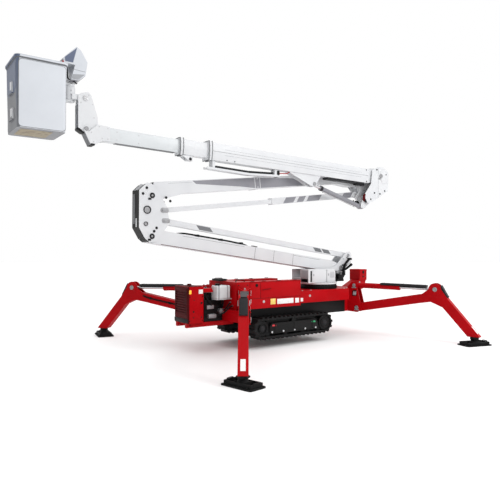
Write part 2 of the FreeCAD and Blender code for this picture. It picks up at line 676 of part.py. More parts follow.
def leg_point(leg, s, lateral):
    """Plan position (x, y) of a point of the leg's own plane."""
    name, x, y, angle, yaw = leg
    c = math.cos(math.radians(angle))
    d = math.sin(math.radians(angle))
    return x + s * c - lateral * d, y + s * d + lateral * c


def front_cross_member():
    """Beam across the frame's front, whose ends meet the brackets' inner plates."""
    face = LEG_WIDTH / 2 + SIDE_GAP + BRACKET_PLATE - 1
    left = LEGS[0]
    c = math.cos(math.radians(left[3]))
    x0 = FRAME_FRONT
    x1 = FRAME_FRONT + FRONT_CROSS_DEPTH
    outer_s = 40
    far_x, far_y = leg_point(left, outer_s, -face)
    start_x, start_y = leg_point(left, 0, -face)
    near_s = (x0 - start_x) / c
    near_x, near_y = leg_point(left, near_s, -face)
    half = [(x0, 0), (x1, 0), (x1, BULKHEAD_HALF_WIDTH), (far_x, far_y), (near_x, near_y)]
    pieces = []
    for side in (1, -1):
        corners = [V(x, side * y, ENGINE_BOX_BOTTOM) for x, y in half]
        face_up = Part.Face(Part.makePolygon(corners + corners[:1]))
        pieces.append(face_up.extrude(V(0, 0, FRONT_CROSS_TOP - ENGINE_BOX_BOTTOM)))
    for leg in LEGS[:2]:
        pieces.append(to_leg(leg_bracket(FRONT_BRACKET_BACK), leg))
    return join(pieces)


def rear_cross_member():
    pieces = [box(FRAME_REAR - REAR_CROSS_DEPTH, FRAME_REAR, -REAR_CROSS_HALF_WIDTH, REAR_CROSS_HALF_WIDTH,
                  KEEL_BOTTOM, DECK_TOP)]
    for leg in LEGS[2:]:
        pieces.append(to_leg(leg_bracket(REAR_BRACKET_BACK), leg))
    return join(pieces)


save("main_frame", main_frame())
save("engine_rails", engine_rails())
save("front_cross_member", front_cross_member())
save("rear_cross_member", rear_cross_member())
for name, side in (("left", 1), ("right", -1)):
    save("track_" + name, track_belt(side))
    save("track_frame_" + name, track_frame(side))
    y0 = side * DECK_HALF_WIDTH
    y1 = side * (DECK_HALF_WIDTH + COVER_THICKNESS)
    cover = box(COVER_REAR, COVER_FRONT, min(y0, y1), max(y0, y1), COVER_BOTTOM, COVER_TOP)
    y2 = side * (DECK_HALF_WIDTH - COVER_LID_WIDTH)
    lid = box(COVER_REAR, COVER_FRONT, min(y0, y2), max(y0, y2), DECK_TOP, COVER_TOP)
    save("side_cover_" + name, join([cover, lid]))


def engine_box():
    body = box(ENGINE_BOX_REAR, ENGINE_BOX_FRONT, -ENGINE_BOX_HALF_WIDTH, ENGINE_BOX_HALF_WIDTH,
               ENGINE_BOX_BOTTOM, ENGINE_BOX_TOP)
    upright = [e for e in body.Edges if abs(e.tangentAt(e.FirstParameter).z) > 0.99]
    body = body.makeFillet(ENGINE_BOX_ROUNDING, upright)
    half = ENGINE_BOX_HALF_WIDTH - LOUVRE_SIDE_GAP
    pitch = (ENGINE_BOX_TOP - LOUVRE_TOP_GAP - ENGINE_BOX_BOTTOM - LOUVRE_FOOT_GAP) / LOUVRE_COUNT
    slots = []
    for i in range(LOUVRE_COUNT):
        z = ENGINE_BOX_TOP - LOUVRE_TOP_GAP - (i + 1) * pitch
        slots.append(box(ENGINE_BOX_FRONT - LOUVRE_DEPTH, ENGINE_BOX_FRONT + 1, -half, half, z, z + pitch / 2))
    return body.cut(Part.makeCompound(slots))


save("engine_box", engine_box())
engine_rear = ENGINE_BOX_REAR - ENGINE_GAP - ENGINE_LENGTH
save("engine_block", join([
    box(engine_rear, engine_rear + ENGINE_LENGTH, -ENGINE_WIDTH / 2, ENGINE_WIDTH / 2,
        ENGINE_BOX_BOTTOM, ENGINE_BOX_BOTTOM + ENGINE_HEIGHT),
    box(engine_rear + ENGINE_LENGTH, ENGINE_BOX_REAR, -BELL_HALF_WIDTH, BELL_HALF_WIDTH, BELL_Z[0], BELL_Z[1]),
]))


def tank():
    top = TANK_BOTTOM + TANK_HEIGHT
    body = box(TANK_X[0], TANK_X[1], TANK_Y[0], TANK_Y[1], TANK_BOTTOM, top)
    body = body.makeFillet(TANK_ROUNDING, body.Edges)
    cap_place = V(TANK_X[1] - TANK_CAP_SETBACK, (TANK_Y[0] + TANK_Y[1]) / 2, top - 1)
    cap = Part.makeCylinder(TANK_CAP_RADIUS, TANK_CAP_HEIGHT + 1, cap_place)
    shelf = box(FRAME_FRONT, TANK_X[1], TANK_Y[0] + TANK_ROUNDING / 2, TANK_Y[1] - TANK_ROUNDING / 2,
                TANK_BOTTOM - TANK_SHELF, TANK_BOTTOM + 1)
    return join([body, cap, shelf])


save("tank", tank())


def boom_rest():
    pad_bottom = REST_TOP - REST_PAD_HEIGHT
    half = REST_WIDTH / 2
    post_half = half - REST_POST_MARGIN
    outline = [
        (REST_X + REST_POST_FOOT[0], COVER_TOP),
        (REST_X + REST_POST_FOOT[1], COVER_TOP),
        (REST_X + REST_LENGTH - REST_POST_INSET, pad_bottom + 1),
        (REST_X + REST_POST_INSET, pad_bottom + 1),
    ]
    post = slab(outline, ARM_Y - post_half, ARM_Y + post_half)
    pad = box(REST_X, REST_X + REST_LENGTH, ARM_Y - half, ARM_Y + half, pad_bottom, REST_TOP)
    return join([post, pad])


save("boom_rest", boom_rest())


def rear_box():
    body = box(REAR_BOX_X[0], REAR_BOX_X[1], -REAR_BOX_HALF_WIDTH, REAR_BOX_HALF_WIDTH,
               REAR_BOX_Z[0], REAR_BOX_Z[1])
    frame_x = FRAME_REAR - REAR_CROSS_DEPTH
    outline = [
        (REAR_BOX_X[0], REAR_BOX_Z[0] + 1),
        (REAR_BOX_X[1], REAR_BOX_Z[0] + 1),
        (frame_x, DECK_TOP),
        (frame_x, DECK_TOP - REAR_BRACKET_DEPTH),
        (REAR_BOX_X[0] + REAR_BRACKET_CORNER[0], DECK_TOP - REAR_BRACKET_CORNER[1]),
    ]
    half = REAR_BOX_HALF_WIDTH - REAR_BRACKET_INSET
    return join([body, slab(outline, -half, half)])


save("rear_box", rear_box())
ring = Part.makeCylinder(RING_RADIUS, RING_TOP - DECK_TOP, V(SLEW_X, 0, DECK_TOP))
ring = ring.cut(Part.makeCylinder(RING_HOLE, RING_TOP - DECK_TOP + 2, V(SLEW_X, 0, DECK_TOP - 1)))
save("slew_ring", ring)


# Turret
ARM_NEAR = ARM_Y + ARM_WIDTH / 2
ARM_FAR = ARM_Y - ARM_WIDTH / 2
PLATE_NEAR = (ARM_NEAR + SIDE_GAP, ARM_NEAR + SIDE_GAP + SIDE_PLATE)
PLATE_FAR = (ARM_FAR - SIDE_GAP - SIDE_PLATE, ARM_FAR - SIDE_GAP)
TURRET_BASE = RING_TOP + SEAT_GAP


def pin_through(pin, radius):
    """Pin across both side plates, with a head on each outer face."""
    near = PLATE_NEAR[1] + PIN_HEAD
    far = PLATE_FAR[0] - PIN_HEAD
    heads = [
        rod_y(pin, radius * PIN_HEAD_SHARE, PLATE_NEAR[1] - 1, near),
        rod_y(pin, radius * PIN_HEAD_SHARE, far, PLATE_FAR[0] + 1),
    ]
    return join([rod_y(pin, radius, far, near)] + heads)


def turret_frame():
    base = Part.makeCylinder(RING_RADIUS + TURRET_PLATE_PROUD, TURRET_PLATE, V(SLEW_X, 0, TURRET_BASE))
    outline = [
        (CABINET_X[0] - TOWER_FRONT_GAP, TURRET_BASE + 1),
        (TOWER_FOOT_X, TURRET_BASE + 1),
        *about(TOWER_LINK_PIN, TOWER_HEAD),
        *about(TOWER_ARM_PIN, TOWER_FRONT),
        (CABINET_X[0] - TOWER_FRONT_GAP, CABINET_TOP - TOWER_FRONT_DROP),
    ]
    pieces = [base]
    for y0, y1 in (PLATE_NEAR, PLATE_FAR):
        pieces.append(slab(outline, y0, y1))
    foot = [(TOWER_FOOT_X + TOWER_WEB, TURRET_BASE + 1), (TOWER_FOOT_X, TURRET_BASE + 1)]
    pieces.append(slab(foot + about(TOWER_LINK_PIN, TOWER_WEB_TOP), PLATE_FAR[0] + 1, PLATE_NEAR[1] - 1))
    pieces.append(pin_through(TOWER_ARM_PIN, ARM_PIN_RADIUS))
    pieces.append(pin_through(TOWER_LINK_PIN, LINK_PIN_RADIUS))
    return join(pieces)


save("turret_frame", turret_frame())
cabinet = box(CABINET_X[0], CABINET_X[1], -CABINET_HALF_WIDTH, CABINET_HALF_WIDTH,
              TURRET_BASE + TURRET_PLATE, CABINET_TOP)
cabinet = cabinet.cut(box(CABINET_X[0] - 1, CABINET_X[1] + 1, ARM_FAR - SIDE_GAP - SIDE_PLATE - SEAT_GAP,
                          ARM_NEAR + SIDE_GAP + SIDE_PLATE + SEAT_GAP, CABINET_SLOT_FLOOR, CABINET_TOP + 1))
save("turret_cabinet", cabinet)


# Pantograph
def arm_body(pin_a, pin_b, outline, radius, gap_a, gap_b, width, eye_radius):
    """Box beam between two pins, with an eye about each."""
    near = ARM_Y + width / 2
    far = ARM_Y - width / 2
    body = join([
        slab(outline, far, near),
        rod_y(pin_a, eye_radius, far, near),
        rod_y(pin_b, eye_radius, far, near),
    ])
    body = body.cut(rod_y(pin_a, radius + gap_a, far - 1, near + 1))
    return body.cut(rod_y(pin_b, radius + gap_b, far - 1, near + 1))


def beam_outline(pin_a, pin_b, above, below):
    """Straight band along the line between two pins, above and below it by the given distances."""
    length = math.hypot(pin_b[0] - pin_a[0], pin_b[1] - pin_a[1])
    ux = (pin_b[0] - pin_a[0]) / length
    uz = (pin_b[1] - pin_a[1]) / length
    return [
        (pin_a[0] + uz * below, pin_a[1] - ux * below),
        (pin_b[0] + uz * below, pin_b[1] - ux * below),
        (pin_b[0] - uz * above, pin_b[1] + ux * above),
        (pin_a[0] - uz * above, pin_a[1] + ux * above),
    ]


def lower_arm():
    """Full depth as far as the tower, then narrowed to a small eye that clears the tower's web."""
    length = math.hypot(KNUCKLE_ARM_PIN[0] - TOWER_ARM_PIN[0], KNUCKLE_ARM_PIN[1] - TOWER_ARM_PIN[1])
    ux = (KNUCKLE_ARM_PIN[0] - TOWER_ARM_PIN[0]) / length
    uz = (KNUCKLE_ARM_PIN[1] - TOWER_ARM_PIN[1]) / length

    def at(along, above):
        return (TOWER_ARM_PIN[0] + ux * along - uz * above, TOWER_ARM_PIN[1] + uz * along + ux * above)

    above = ARM_DEPTH / 2 + ARM_OFFSET
    below = ARM_DEPTH / 2 - ARM_OFFSET
    outline = [at(0, -LOWER_EYE), at(LOWER_TAPER, -below), at(length, -below), at(length, above),
               at(LOWER_TAPER_TOP, above), at(0, LOWER_EYE)]
    body = arm_body(TOWER_ARM_PIN, KNUCKLE_ARM_PIN, outline, ARM_PIN_RADIUS, RUN_FIT, RUN_FIT, ARM_WIDTH, LOWER_EYE)
    tip = rod_y(KNUCKLE_ARM_PIN, below, ARM_Y - ARM_WIDTH / 2, ARM_Y + ARM_WIDTH / 2)
    tip = tip.cut(rod_y(KNUCKLE_ARM_PIN, ARM_PIN_RADIUS + RUN_FIT, ARM_Y - ARM_WIDTH, ARM_Y + ARM_WIDTH))
    return join([body, tip])


save("lower_arm", lower_arm())
save("lower_link", arm_body(TOWER_LINK_PIN, KNUCKLE_LINK_PIN,
                            beam_outline(TOWER_LINK_PIN, KNUCKLE_LINK_PIN, LOWER_LINK_DEPTH / 2, LOWER_LINK_DEPTH / 2),
                            LINK_PIN_RADIUS, RUN_FIT, OPEN_PIN_GAP, LINK_WIDTH, LINK_EYE))

# The upper arm runs above its pins, and its ends drop to them
slope = (HEAD_ARM_PIN[1] - UPPER_ARM_PIN[1]) / (UPPER_ARM_PIN[0] - HEAD_ARM_PIN[0])


def along_upper(x, above):
    return x, UPPER_ARM_PIN[1] + (UPPER_ARM_PIN[0] - x) * slope + above


upper_outline = [
    along_upper(HEAD_ARM_PIN[0] + along, above) for along, above in UPPER_REAR_BELLY
] + [
    along_upper(UPPER_ARM_PIN[0] + along, above) for along, above in UPPER_FRONT_BELLY
] + [
    along_upper(HEAD_ARM_PIN[0] + along, above) for along, above in UPPER_REAR_TOP
]
save("upper_arm", arm_body(UPPER_ARM_PIN, HEAD_ARM_PIN, upper_outline, ARM_PIN_RADIUS, RUN_FIT, RUN_FIT,
                           ARM_WIDTH, UPPER_EYE))


def upper_link():
    share = (UPPER_LINK_PIN[0] - UPPER_LINK_COLLAR_X) / (UPPER_LINK_PIN[0] - HEAD_LINK_PIN[0])
    collar_z = UPPER_LINK_PIN[1] + share * (HEAD_LINK_PIN[1] - UPPER_LINK_PIN[1])
    collar = (UPPER_LINK_COLLAR_X, collar_z)
    near = ARM_Y + LINK_WIDTH / 2
    far = ARM_Y - LINK_WIDTH / 2
    body = join([
        slab(beam_outline(collar, UPPER_LINK_PIN, UPPER_LINK_FRONT_DEPTH / 2, UPPER_LINK_FRONT_DEPTH / 2),
             far + LINK_INSET, near - LINK_INSET),
        slab(beam_outline(HEAD_LINK_PIN, collar, UPPER_LINK_REAR_DEPTH / 2, UPPER_LINK_REAR_DEPTH / 2), far, near),
        rod_y(UPPER_LINK_PIN, LINK_EYE, far + LINK_INSET, near - LINK_INSET),
        rod_y(HEAD_LINK_PIN, UPPER_LINK_REAR_DEPTH / 2, far, near),
    ])
    body = body.cut(rod_y(UPPER_LINK_PIN, LINK_PIN_RADIUS + RUN_FIT, far - 1, near + 1))
    return body.cut(rod_y(HEAD_LINK_PIN, LINK_PIN_RADIUS + OPEN_PIN_GAP, far - 1, near + 1))


save("upper_link", upper_link())


def knuckle():
    outline = (about(UPPER_ARM_PIN, KNUCKLE_TOP) + about(KNUCKLE_ARM_PIN, KNUCKLE_FOOT)
               + about(KNUCKLE_LINK_PIN, KNUCKLE_HEEL) + about(UPPER_LINK_PIN, KNUCKLE_BACK))
    pieces = [slab(outline, y0, y1) for y0, y1 in (PLATE_NEAR, PLATE_FAR)]
    pieces.append(box(KNUCKLE_ARM_PIN[0] + KNUCKLE_WEB[0], KNUCKLE_ARM_PIN[0] + KNUCKLE_WEB[1],
                      PLATE_FAR[0] + 1, PLATE_NEAR[1] - 1,
                      KNUCKLE_ARM_PIN[1] + KNUCKLE_WEB_FOOT, UPPER_ARM_PIN[1] + KNUCKLE_WEB_TOP))
    for pin in (KNUCKLE_ARM_PIN, UPPER_ARM_PIN):
        pieces.append(pin_through(pin, ARM_PIN_RADIUS))
    for pin in (KNUCKLE_LINK_PIN, UPPER_LINK_PIN):
        pieces.append(pin_through(pin, LINK_PIN_RADIUS))
    return join(pieces)


save("knuckle", knuckle())


# Head
HEAD_MIDDLE = (ARM_NEAR + SIDE_GAP, BOOM_Y - OUTER_WIDTH / 2 - SIDE_GAP)
HEAD_FAR = (PLATE_FAR[0], PLATE_FAR[1])
HEAD_NEAR = (HEAD_NEAR_Y, HEAD_NEAR_Y + HEAD_PLATE)


def head():
    rear = about(BOOM_ROOT, HEAD_CROWN) + about(HEAD_LINK_PIN, HEAD_BACK)
    belly = about(HEAD_LINK_PIN, HEAD_BELLY) + about(LUFF_BASE, HEAD_CHIN)
    face_edge = about(HEAD_ARM_PIN, HEAD_FACE)
    near_outline = rear + belly + about(HEAD_ARM_PIN, HEAD_THROAT)
    middle_outline = rear + belly + about(HEAD_ARM_PIN, HEAD_MIDDLE_THROAT) + face_edge
    far_outline = rear + about(HEAD_LINK_PIN, HEAD_ARM_BELLY) + face_edge
    rear_web = about(BOOM_ROOT, HEAD_WEB_TOP) + about(HEAD_LINK_PIN, HEAD_WEB_FOOT)
    pieces = [
        slab(near_outline, HEAD_NEAR[0], HEAD_NEAR[1]),
        slab(middle_outline, HEAD_MIDDLE[0], HEAD_MIDDLE[1]),
        slab(far_outline, HEAD_FAR[0], HEAD_FAR[1]),
        slab(rear_web, HEAD_FAR[0] + 1, HEAD_NEAR[1] - 1),
        slab(about(HEAD_LINK_PIN, HEAD_FLOOR), HEAD_MIDDLE[0] + 1, HEAD_NEAR[1] - 1),
        slab(about(LUFF_BASE, HEAD_LUG_WEB), HEAD_MIDDLE[0] + 1, HEAD_NEAR[1] - 1),
    ]
    # Lugs that carry the luff cylinder's base, each side of its eye
    lug = about(LUFF_BASE, HEAD_LUG)
    eye_half = LUFF_EYE_WIDTH / 2
    for face in (-1, 1):
        a = BOOM_Y + face * (eye_half + SIDE_GAP)
        b = a + face * HEAD_PLATE
        pieces.append(slab(lug, min(a, b), max(a, b)))
    reach = eye_half + SIDE_GAP + HEAD_PLATE + PIN_HEAD
    pieces.append(rod_y(LUFF_BASE, LUFF_PIN_RADIUS, BOOM_Y - reach, BOOM_Y + reach))
    pieces.append(rod_y(BOOM_ROOT, BOOM_ROOT_PIN_RADIUS, HEAD_MIDDLE[0] + 2, HEAD_NEAR[1] + PIN_HEAD))
    for pin, radius in ((HEAD_ARM_PIN, ARM_PIN_RADIUS), (HEAD_LINK_PIN, LINK_PIN_RADIUS)):
        pieces.append(rod_y(pin, radius, HEAD_FAR[0] - PIN_HEAD, HEAD_MIDDLE[1] - 2))
    return join(pieces)


save("head", head())


# Boom sections: six-sided tubes, folded outward at mid height
def tube_outline(height, width, grow):
    """Section points (across, up) of a boom tube, grown outward by a distance."""
    side = width / 2 + grow
    flat = width / 2 - FOLD_BULGE + grow
    top = height / 2 + grow
    return [(-flat, top), (flat, top), (side, 0), (flat, -top), (-flat, -top), (-side, 0)]


def tube(x0, x1, height, width, grow):
    points = [V(x0, y, z) for y, z in tube_outline(height, width, grow)]
    face = Part.Face(Part.makePolygon(points + points[:1]))
    return face.extrude(V(x1 - x0, 0, 0))


def to_boom(shape):
    """Boom solids are made level, with the axis below the root pin, then tilted about the pin."""
    shape.translate(V(BOOM_ROOT[0], BOOM_Y, BOOM_ROOT[1] - BOOM_AXIS_DROP))
    shape.rotate(V(BOOM_ROOT[0], BOOM_Y, BOOM_ROOT[1]), V(0, -1, 0), BOOM_TILT)
    return shape


def from_root(x):
    return x - BOOM_ROOT[0]


def boom_point(x, z):
    """A point (x, z) of the rest pose, in the level boom's own place before tilting."""
    angle = math.radians(-BOOM_TILT)
    dx = x - BOOM_ROOT[0]
    dz = z - BOOM_ROOT[1]
    level_x = dx * math.cos(angle) - dz * math.sin(angle)
    level_z = dx * math.sin(angle) + dz * math.cos(angle)
    return level_x, level_z + BOOM_AXIS_DROP


def outer_boom():
    rear = from_root(BOOM_REAR_X)
    front = from_root(OUTER_FRONT_X)
    body = join([
        tube(rear, front, OUTER_HEIGHT, OUTER_WIDTH, 0),
        tube(front - COLLAR_LENGTH, front, OUTER_HEIGHT, OUTER_WIDTH, COLLAR_PROUD),
    ])
    hollow_front = front - COLLAR_LENGTH
    body = body.cut(tube(rear + OUTER_PLUG, hollow_front, OUTER_HEIGHT, OUTER_WIDTH, -BOOM_WALL))
    body = body.cut(tube(hollow_front - 1, front + 1, MID_HEIGHT, MID_WIDTH, SEAT_GAP))
    half = OUTER_WIDTH / 2 - FOLD_BULGE
    tail = slab([(rear + 1, OUTER_HEIGHT / 2), (rear + 1, -OUTER_HEIGHT / 2), *BOOM_TAIL], -half, half)
    body = join([body, tail])
    body = body.cut(rod_y((0, BOOM_AXIS_DROP), BOOM_ROOT_PIN_RADIUS + RUN_FIT, -OUTER_WIDTH, OUTER_WIDTH))
    tip_x, tip_z = boom_point(LUFF_TIP[0], LUFF_TIP[1])
    low = -OUTER_HEIGHT / 2
    bracket = about((tip_x, low), LUFF_LUG_ROOT) + about((tip_x, tip_z), LUFF_LUG_TIP)
    eye_half = LUFF_EYE_WIDTH / 2
    pieces = [body]
    for face in (-1, 1):
        a = face * (eye_half + LUFF_TIP_GAP)
        b = a + face * LUFF_LUG_PLATE
        pieces.append(slab(bracket, min(a, b), max(a, b)))
        c = b + face * PIN_HEAD
        pieces.append(rod_y((tip_x, tip_z), LUFF_PIN_RADIUS + 10, min(a, c), max(a, c)))
    return to_boom(join(pieces))


save("boom_outer", outer_boom())


def boom_tray():
    low = -OUTER_HEIGHT / 2
    top = [(along, low - drop) for along, drop in TRAY_LINE]
    under = [(x, z - TRAY_DEPTH) for x, z in reversed(top)]
    pieces = [slab(top + under, -TRAY_HALF_WIDTH, TRAY_HALF_WIDTH)]
    for (x, z), post in ((top[0], TRAY_REAR_POST), (top[-1], TRAY_FRONT_POST)):
        pieces.append(box(x + post[0], x + post[1], -TRAY_HALF_WIDTH, TRAY_HALF_WIDTH, z - TRAY_DEPTH / 2, low))
    return to_boom(join(pieces))


save("boom_tray", boom_tray())


def mid_boom():
    rear = from_root(MID_REAR_X)
    front = from_root(MID_FRONT_X)
    shoe_height = OUTER_HEIGHT - 2 * BOOM_WALL - 2 * SEAT_GAP
    shoe_width = OUTER_WIDTH - 2 * BOOM_WALL - 2 * SEAT_GAP
    body = join([
        tube(rear, front, MID_HEIGHT, MID_WIDTH, 0),
        tube(rear, rear + COLLAR_LENGTH, shoe_height, shoe_width, 0),
        tube(front - COLLAR_LENGTH, front, MID_HEIGHT, MID_WIDTH, COLLAR_PROUD),
    ])
    body = body.cut(tube(rear - 1, front - COLLAR_LENGTH, MID_HEIGHT, MID_WIDTH, -MID_WALL))
    body = body.cut(tube(front - COLLAR_LENGTH - 1, front + 1, INNER_HEIGHT, INNER_WIDTH, SEAT_GAP))
    low = -MID_HEIGHT / 2
    post_x = from_root(SLIDE_POST_X)
    post = box(post_x, post_x + SLIDE_POST_LENGTH, -SLIDE_POST_HALF_WIDTH, SLIDE_POST_HALF_WIDTH,
               low - SLIDE_POST_DROP, low + 1)
    return to_boom(join([body, post]))


save("boom_mid", mid_boom())


def inner_boom():
    rear = from_root(INNER_REAR_X)
    front = from_root(INNER_FRONT_X)
    shoe_height = MID_HEIGHT - 2 * MID_WALL - 2 * SEAT_GAP
    shoe_width = MID_WIDTH - 2 * MID_WALL - 2 * SEAT_GAP
    body = join([
        tube(rear, front, INNER_HEIGHT, INNER_WIDTH, 0),
        tube(rear, rear + COLLAR_LENGTH, shoe_height, shoe_width, 0),
    ])
    body = body.cut(tube(rear - 1, front - INNER_PLUG, INNER_HEIGHT, INNER_WIDTH, -BOOM_WALL))
    return to_boom(body)


save("boom_inner", inner_boom())


def tip_bracket():
    near = BOOM_Y + INNER_WIDTH / 2
    far = BOOM_Y - INNER_WIDTH / 2
    outline = about(JIB_LOW_PIN, TIP_EDGE)
    reach = TIP_PLATE + PIN_HEAD
    return join([
        slab(outline, near, near + TIP_PLATE),
        slab(outline, far - TIP_PLATE, far),
        slab(about(JIB_LOW_PIN, TIP_PLUG), far - 1, near + 1),
        rod_y(JIB_LOW_PIN, JIB_PIN_RADIUS, far - reach, near + reach),
    ])


save("tip_bracket", tip_bracket())


# Luff cylinder
def luff_barrel():
    half = LUFF_EYE_WIDTH / 2
    barrel = join([
        rod_y((0, 0), LUFF_EYE_RADIUS, -half, half),
        rod_between(V(0, 0, 0), V(LUFF_BARREL_LENGTH, 0, 0), LUFF_BARREL_RADIUS),
    ])
    barrel = barrel.cut(rod_between(V(LUFF_BARREL_LENGTH - LUFF_ROD_INSIDE - CUT_PAST, 0, 0),
                                    V(LUFF_BARREL_LENGTH + 1, 0, 0), LUFF_ROD_RADIUS + RUN_FIT * 6))
    barrel = barrel.cut(rod_y((0, 0), LUFF_PIN_RADIUS + RUN_FIT, -half - CUT_PAST, half + CUT_PAST))
    barrel = cylinder_line(barrel, LUFF_BASE, LUFF_TIP)
    barrel.translate(V(0, BOOM_Y, 0))
    return barrel


def luff_rod():
    half = LUFF_EYE_WIDTH / 2
    rod = join([
        rod_between(V(LUFF_BARREL_LENGTH - LUFF_ROD_INSIDE, 0, 0), V(LUFF_LENGTH, 0, 0), LUFF_ROD_RADIUS),
        rod_y((LUFF_LENGTH, 0), LUFF_EYE_RADIUS, -half, half),
    ])
    rod = rod.cut(rod_y((LUFF_LENGTH, 0), LUFF_PIN_RADIUS, -half - 1, half + 1))
    rod = cylinder_line(rod, LUFF_BASE, LUFF_TIP)
    rod.translate(V(0, BOOM_Y, 0))
    return rod


save("luff_barrel", luff_barrel())
save("luff_rod", luff_rod())


# Jib
def jib():
    half = INNER_WIDTH / 2 - SIDE_GAP
    solid = slab(about(JIB_TOP_PIN, JIB_HEAD) + about(JIB_LOW_PIN, JIB_FOOT), BOOM_Y - half, BOOM_Y + half)
    pocket_half = half - JIB_PLATE
    solid = solid.cut(slab(about(JIB_TOP_PIN, JIB_POCKET), BOOM_Y - pocket_half, BOOM_Y + pocket_half))
    solid = solid.cut(rod_y(JIB_LOW_PIN, JIB_PIN_RADIUS + RUN_FIT, BOOM_Y - half - 1, BOOM_Y + half + 1))
    pin = rod_y(JIB_TOP_PIN, JIB_PIN_RADIUS, BOOM_Y - half - PIN_HEAD, BOOM_Y + half + PIN_HEAD)
    return join([solid, pin])


save("jib", jib())


# Rotator bracket, pinned to the jib's top
def rotator():
    half = INNER_WIDTH / 2 - SIDE_GAP - JIB_PLATE - SIDE_GAP
    ear = join([
        rod_y(JIB_TOP_PIN, ROTATOR_EAR_RADIUS, BOOM_Y - half, BOOM_Y + half),
        box(JIB_TOP_PIN[0], ROTATOR_X, BOOM_Y - half, BOOM_Y + half,
            JIB_TOP_PIN[1] + ROTATOR_NECK[0], JIB_TOP_PIN[1] + ROTATOR_NECK[1]),
    ])
    drum = Part.makeCylinder(ROTATOR_RADIUS, ROTATOR_Z[1] - ROTATOR_Z[0], V(ROTATOR_X, ROTATOR_Y, ROTATOR_Z[0]))
    body = join([ear, drum])
    return body.cut(rod_y(JIB_TOP_PIN, JIB_PIN_RADIUS + RUN_FIT, BOOM_Y - half - 1, BOOM_Y + half + 1))


save("rotator", rotator())


# Basket and what turns with it
REAR_FACE = BASKET_X - BASKET_LENGTH / 2


def rounded_rectangle(length, width, radius, z):
    """Wire with round corners about the basket's axis."""
    shape = Part.makeBox(length, width, 1, V(BASKET_X - length / 2, BASKET_Y - width / 2, z))
    upright = [e for e in shape.Edges if abs(e.tangentAt(e.FirstParameter).z) > 0.99]
    shape = shape.makeFillet(radius, upright)
    bottom = min(shape.Faces, key=lambda face: face.CenterOfMass.z)
    return bottom.OuterWire


def tub(inset, z0, z1):
    share0 = (z0 - BASKET_BASE) / BASKET_HEIGHT
    share1 = (z1 - BASKET_BASE) / BASKET_HEIGHT
    wires = []
    for share, z in ((share0, z0), (share1, z1)):
        grow = 2 * BASKET_TAPER * share - 2 * inset
        wires.append(rounded_rectangle(BASKET_LENGTH + grow, BASKET_WIDTH + grow, BASKET_CORNER - inset, z))
    return Part.makeLoft(wires, True, True)


def basket():
    top = BASKET_BASE + BASKET_HEIGHT
    outer = tub(0, BASKET_BASE, top)
    rim_wire = rounded_rectangle(BASKET_LENGTH + 2 * (BASKET_TAPER + RIM_PROUD),
                                 BASKET_WIDTH + 2 * (BASKET_TAPER + RIM_PROUD), BASKET_CORNER + RIM_PROUD,
                                 top - RIM_HEIGHT)
    rim = Part.Face(rim_wire).extrude(V(0, 0, RIM_HEIGHT))
    steps = []
    for rise in STEP_RISE:
        z = BASKET_BASE + rise
        grow = BASKET_TAPER * rise / BASKET_HEIGHT
        face_x = BASKET_X + BASKET_LENGTH / 2 + grow
        steps.append(box(face_x - 5, face_x + STEP_PROUD, BASKET_Y - STEP_LENGTH / 2, BASKET_Y + STEP_LENGTH / 2,
                         z, z + STEP_HEIGHT))
    body = join([outer, rim] + steps)
    return body.cut(tub(BASKET_WALL, BASKET_BASE + BASKET_WALL, top + 1))


save("basket", basket())


def basket_mount():
    """Arms above and below the rotator, and the plate that they carry on the basket's rear face."""
    plate_x = REAR_FACE - BASKET_TAPER - MOUNT_PLATE
    low, high = ROTATOR_Z[0] + MOUNT_Z[0], ROTATOR_Z[0] + MOUNT_Z[1]
    pieces = [box(plate_x, plate_x + MOUNT_PLATE, MOUNT_Y[0], MOUNT_Y[1], low, high)]
    for z in (ROTATOR_Z[1] + SEAT_GAP, ROTATOR_Z[0] - SEAT_GAP - MOUNT_ARM):
        pieces.append(Part.makeCylinder(ROTATOR_RADIUS, MOUNT_ARM, V(ROTATOR_X, ROTATOR_Y, z)))
        pieces.append(box(ROTATOR_X, plate_x + 1, ROTATOR_Y - MOUNT_ARM_HALF_WIDTH,
                          ROTATOR_Y + MOUNT_ARM_HALF_WIDTH, z, z + MOUNT_ARM))
    shelf_top = ROTATOR_Z[1] + HOOD_SHELF_RISE
    pieces.append(box(ROTATOR_X + HOOD_EDGE[5][0], plate_x + 1, HOOD_Y - MOUNT_ARM_HALF_WIDTH,
                      HOOD_Y + MOUNT_ARM_HALF_WIDTH, shelf_top - MOUNT_ARM, shelf_top))
    body = join(pieces)
    # The basket's face leans, and a shim fills the wedge between it and the plate
    tapered = tub(0, BASKET_BASE, BASKET_BASE + BASKET_HEIGHT)
    shim = box(plate_x + MOUNT_PLATE - 1, REAR_FACE + 2, MOUNT_Y[0] + BASKET_CORNER, MOUNT_Y[1] - BASKET_CORNER,
               low + MOUNT_PLATE, high - MOUNT_PLATE)
    return join([body, shim.cut(tapered)])


save("basket_mount", basket_mount())


def console_hood():
    """Hood about the controls, open towards the basket."""
    top = (ROTATOR_X, ROTATOR_Z[1])
    half = HOOD_WIDTH / 2
    shell = slab(about(top, HOOD_EDGE), HOOD_Y - half, HOOD_Y + half)
    pocket_half = half - HOOD_WALL
    return shell.cut(slab(about(top, HOOD_POCKET), HOOD_Y - pocket_half, HOOD_Y + pocket_half))


save("console_hood", console_hood())
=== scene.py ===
"""Looks of a tracked spider lift: its finishes, fittings and studio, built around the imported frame."""

import json
import logging
import math
from dataclasses import dataclass
from enum import Enum
from typing import Callable, Sequence, Union

import bmesh
import bpy
from mathutils import Matrix, Vector


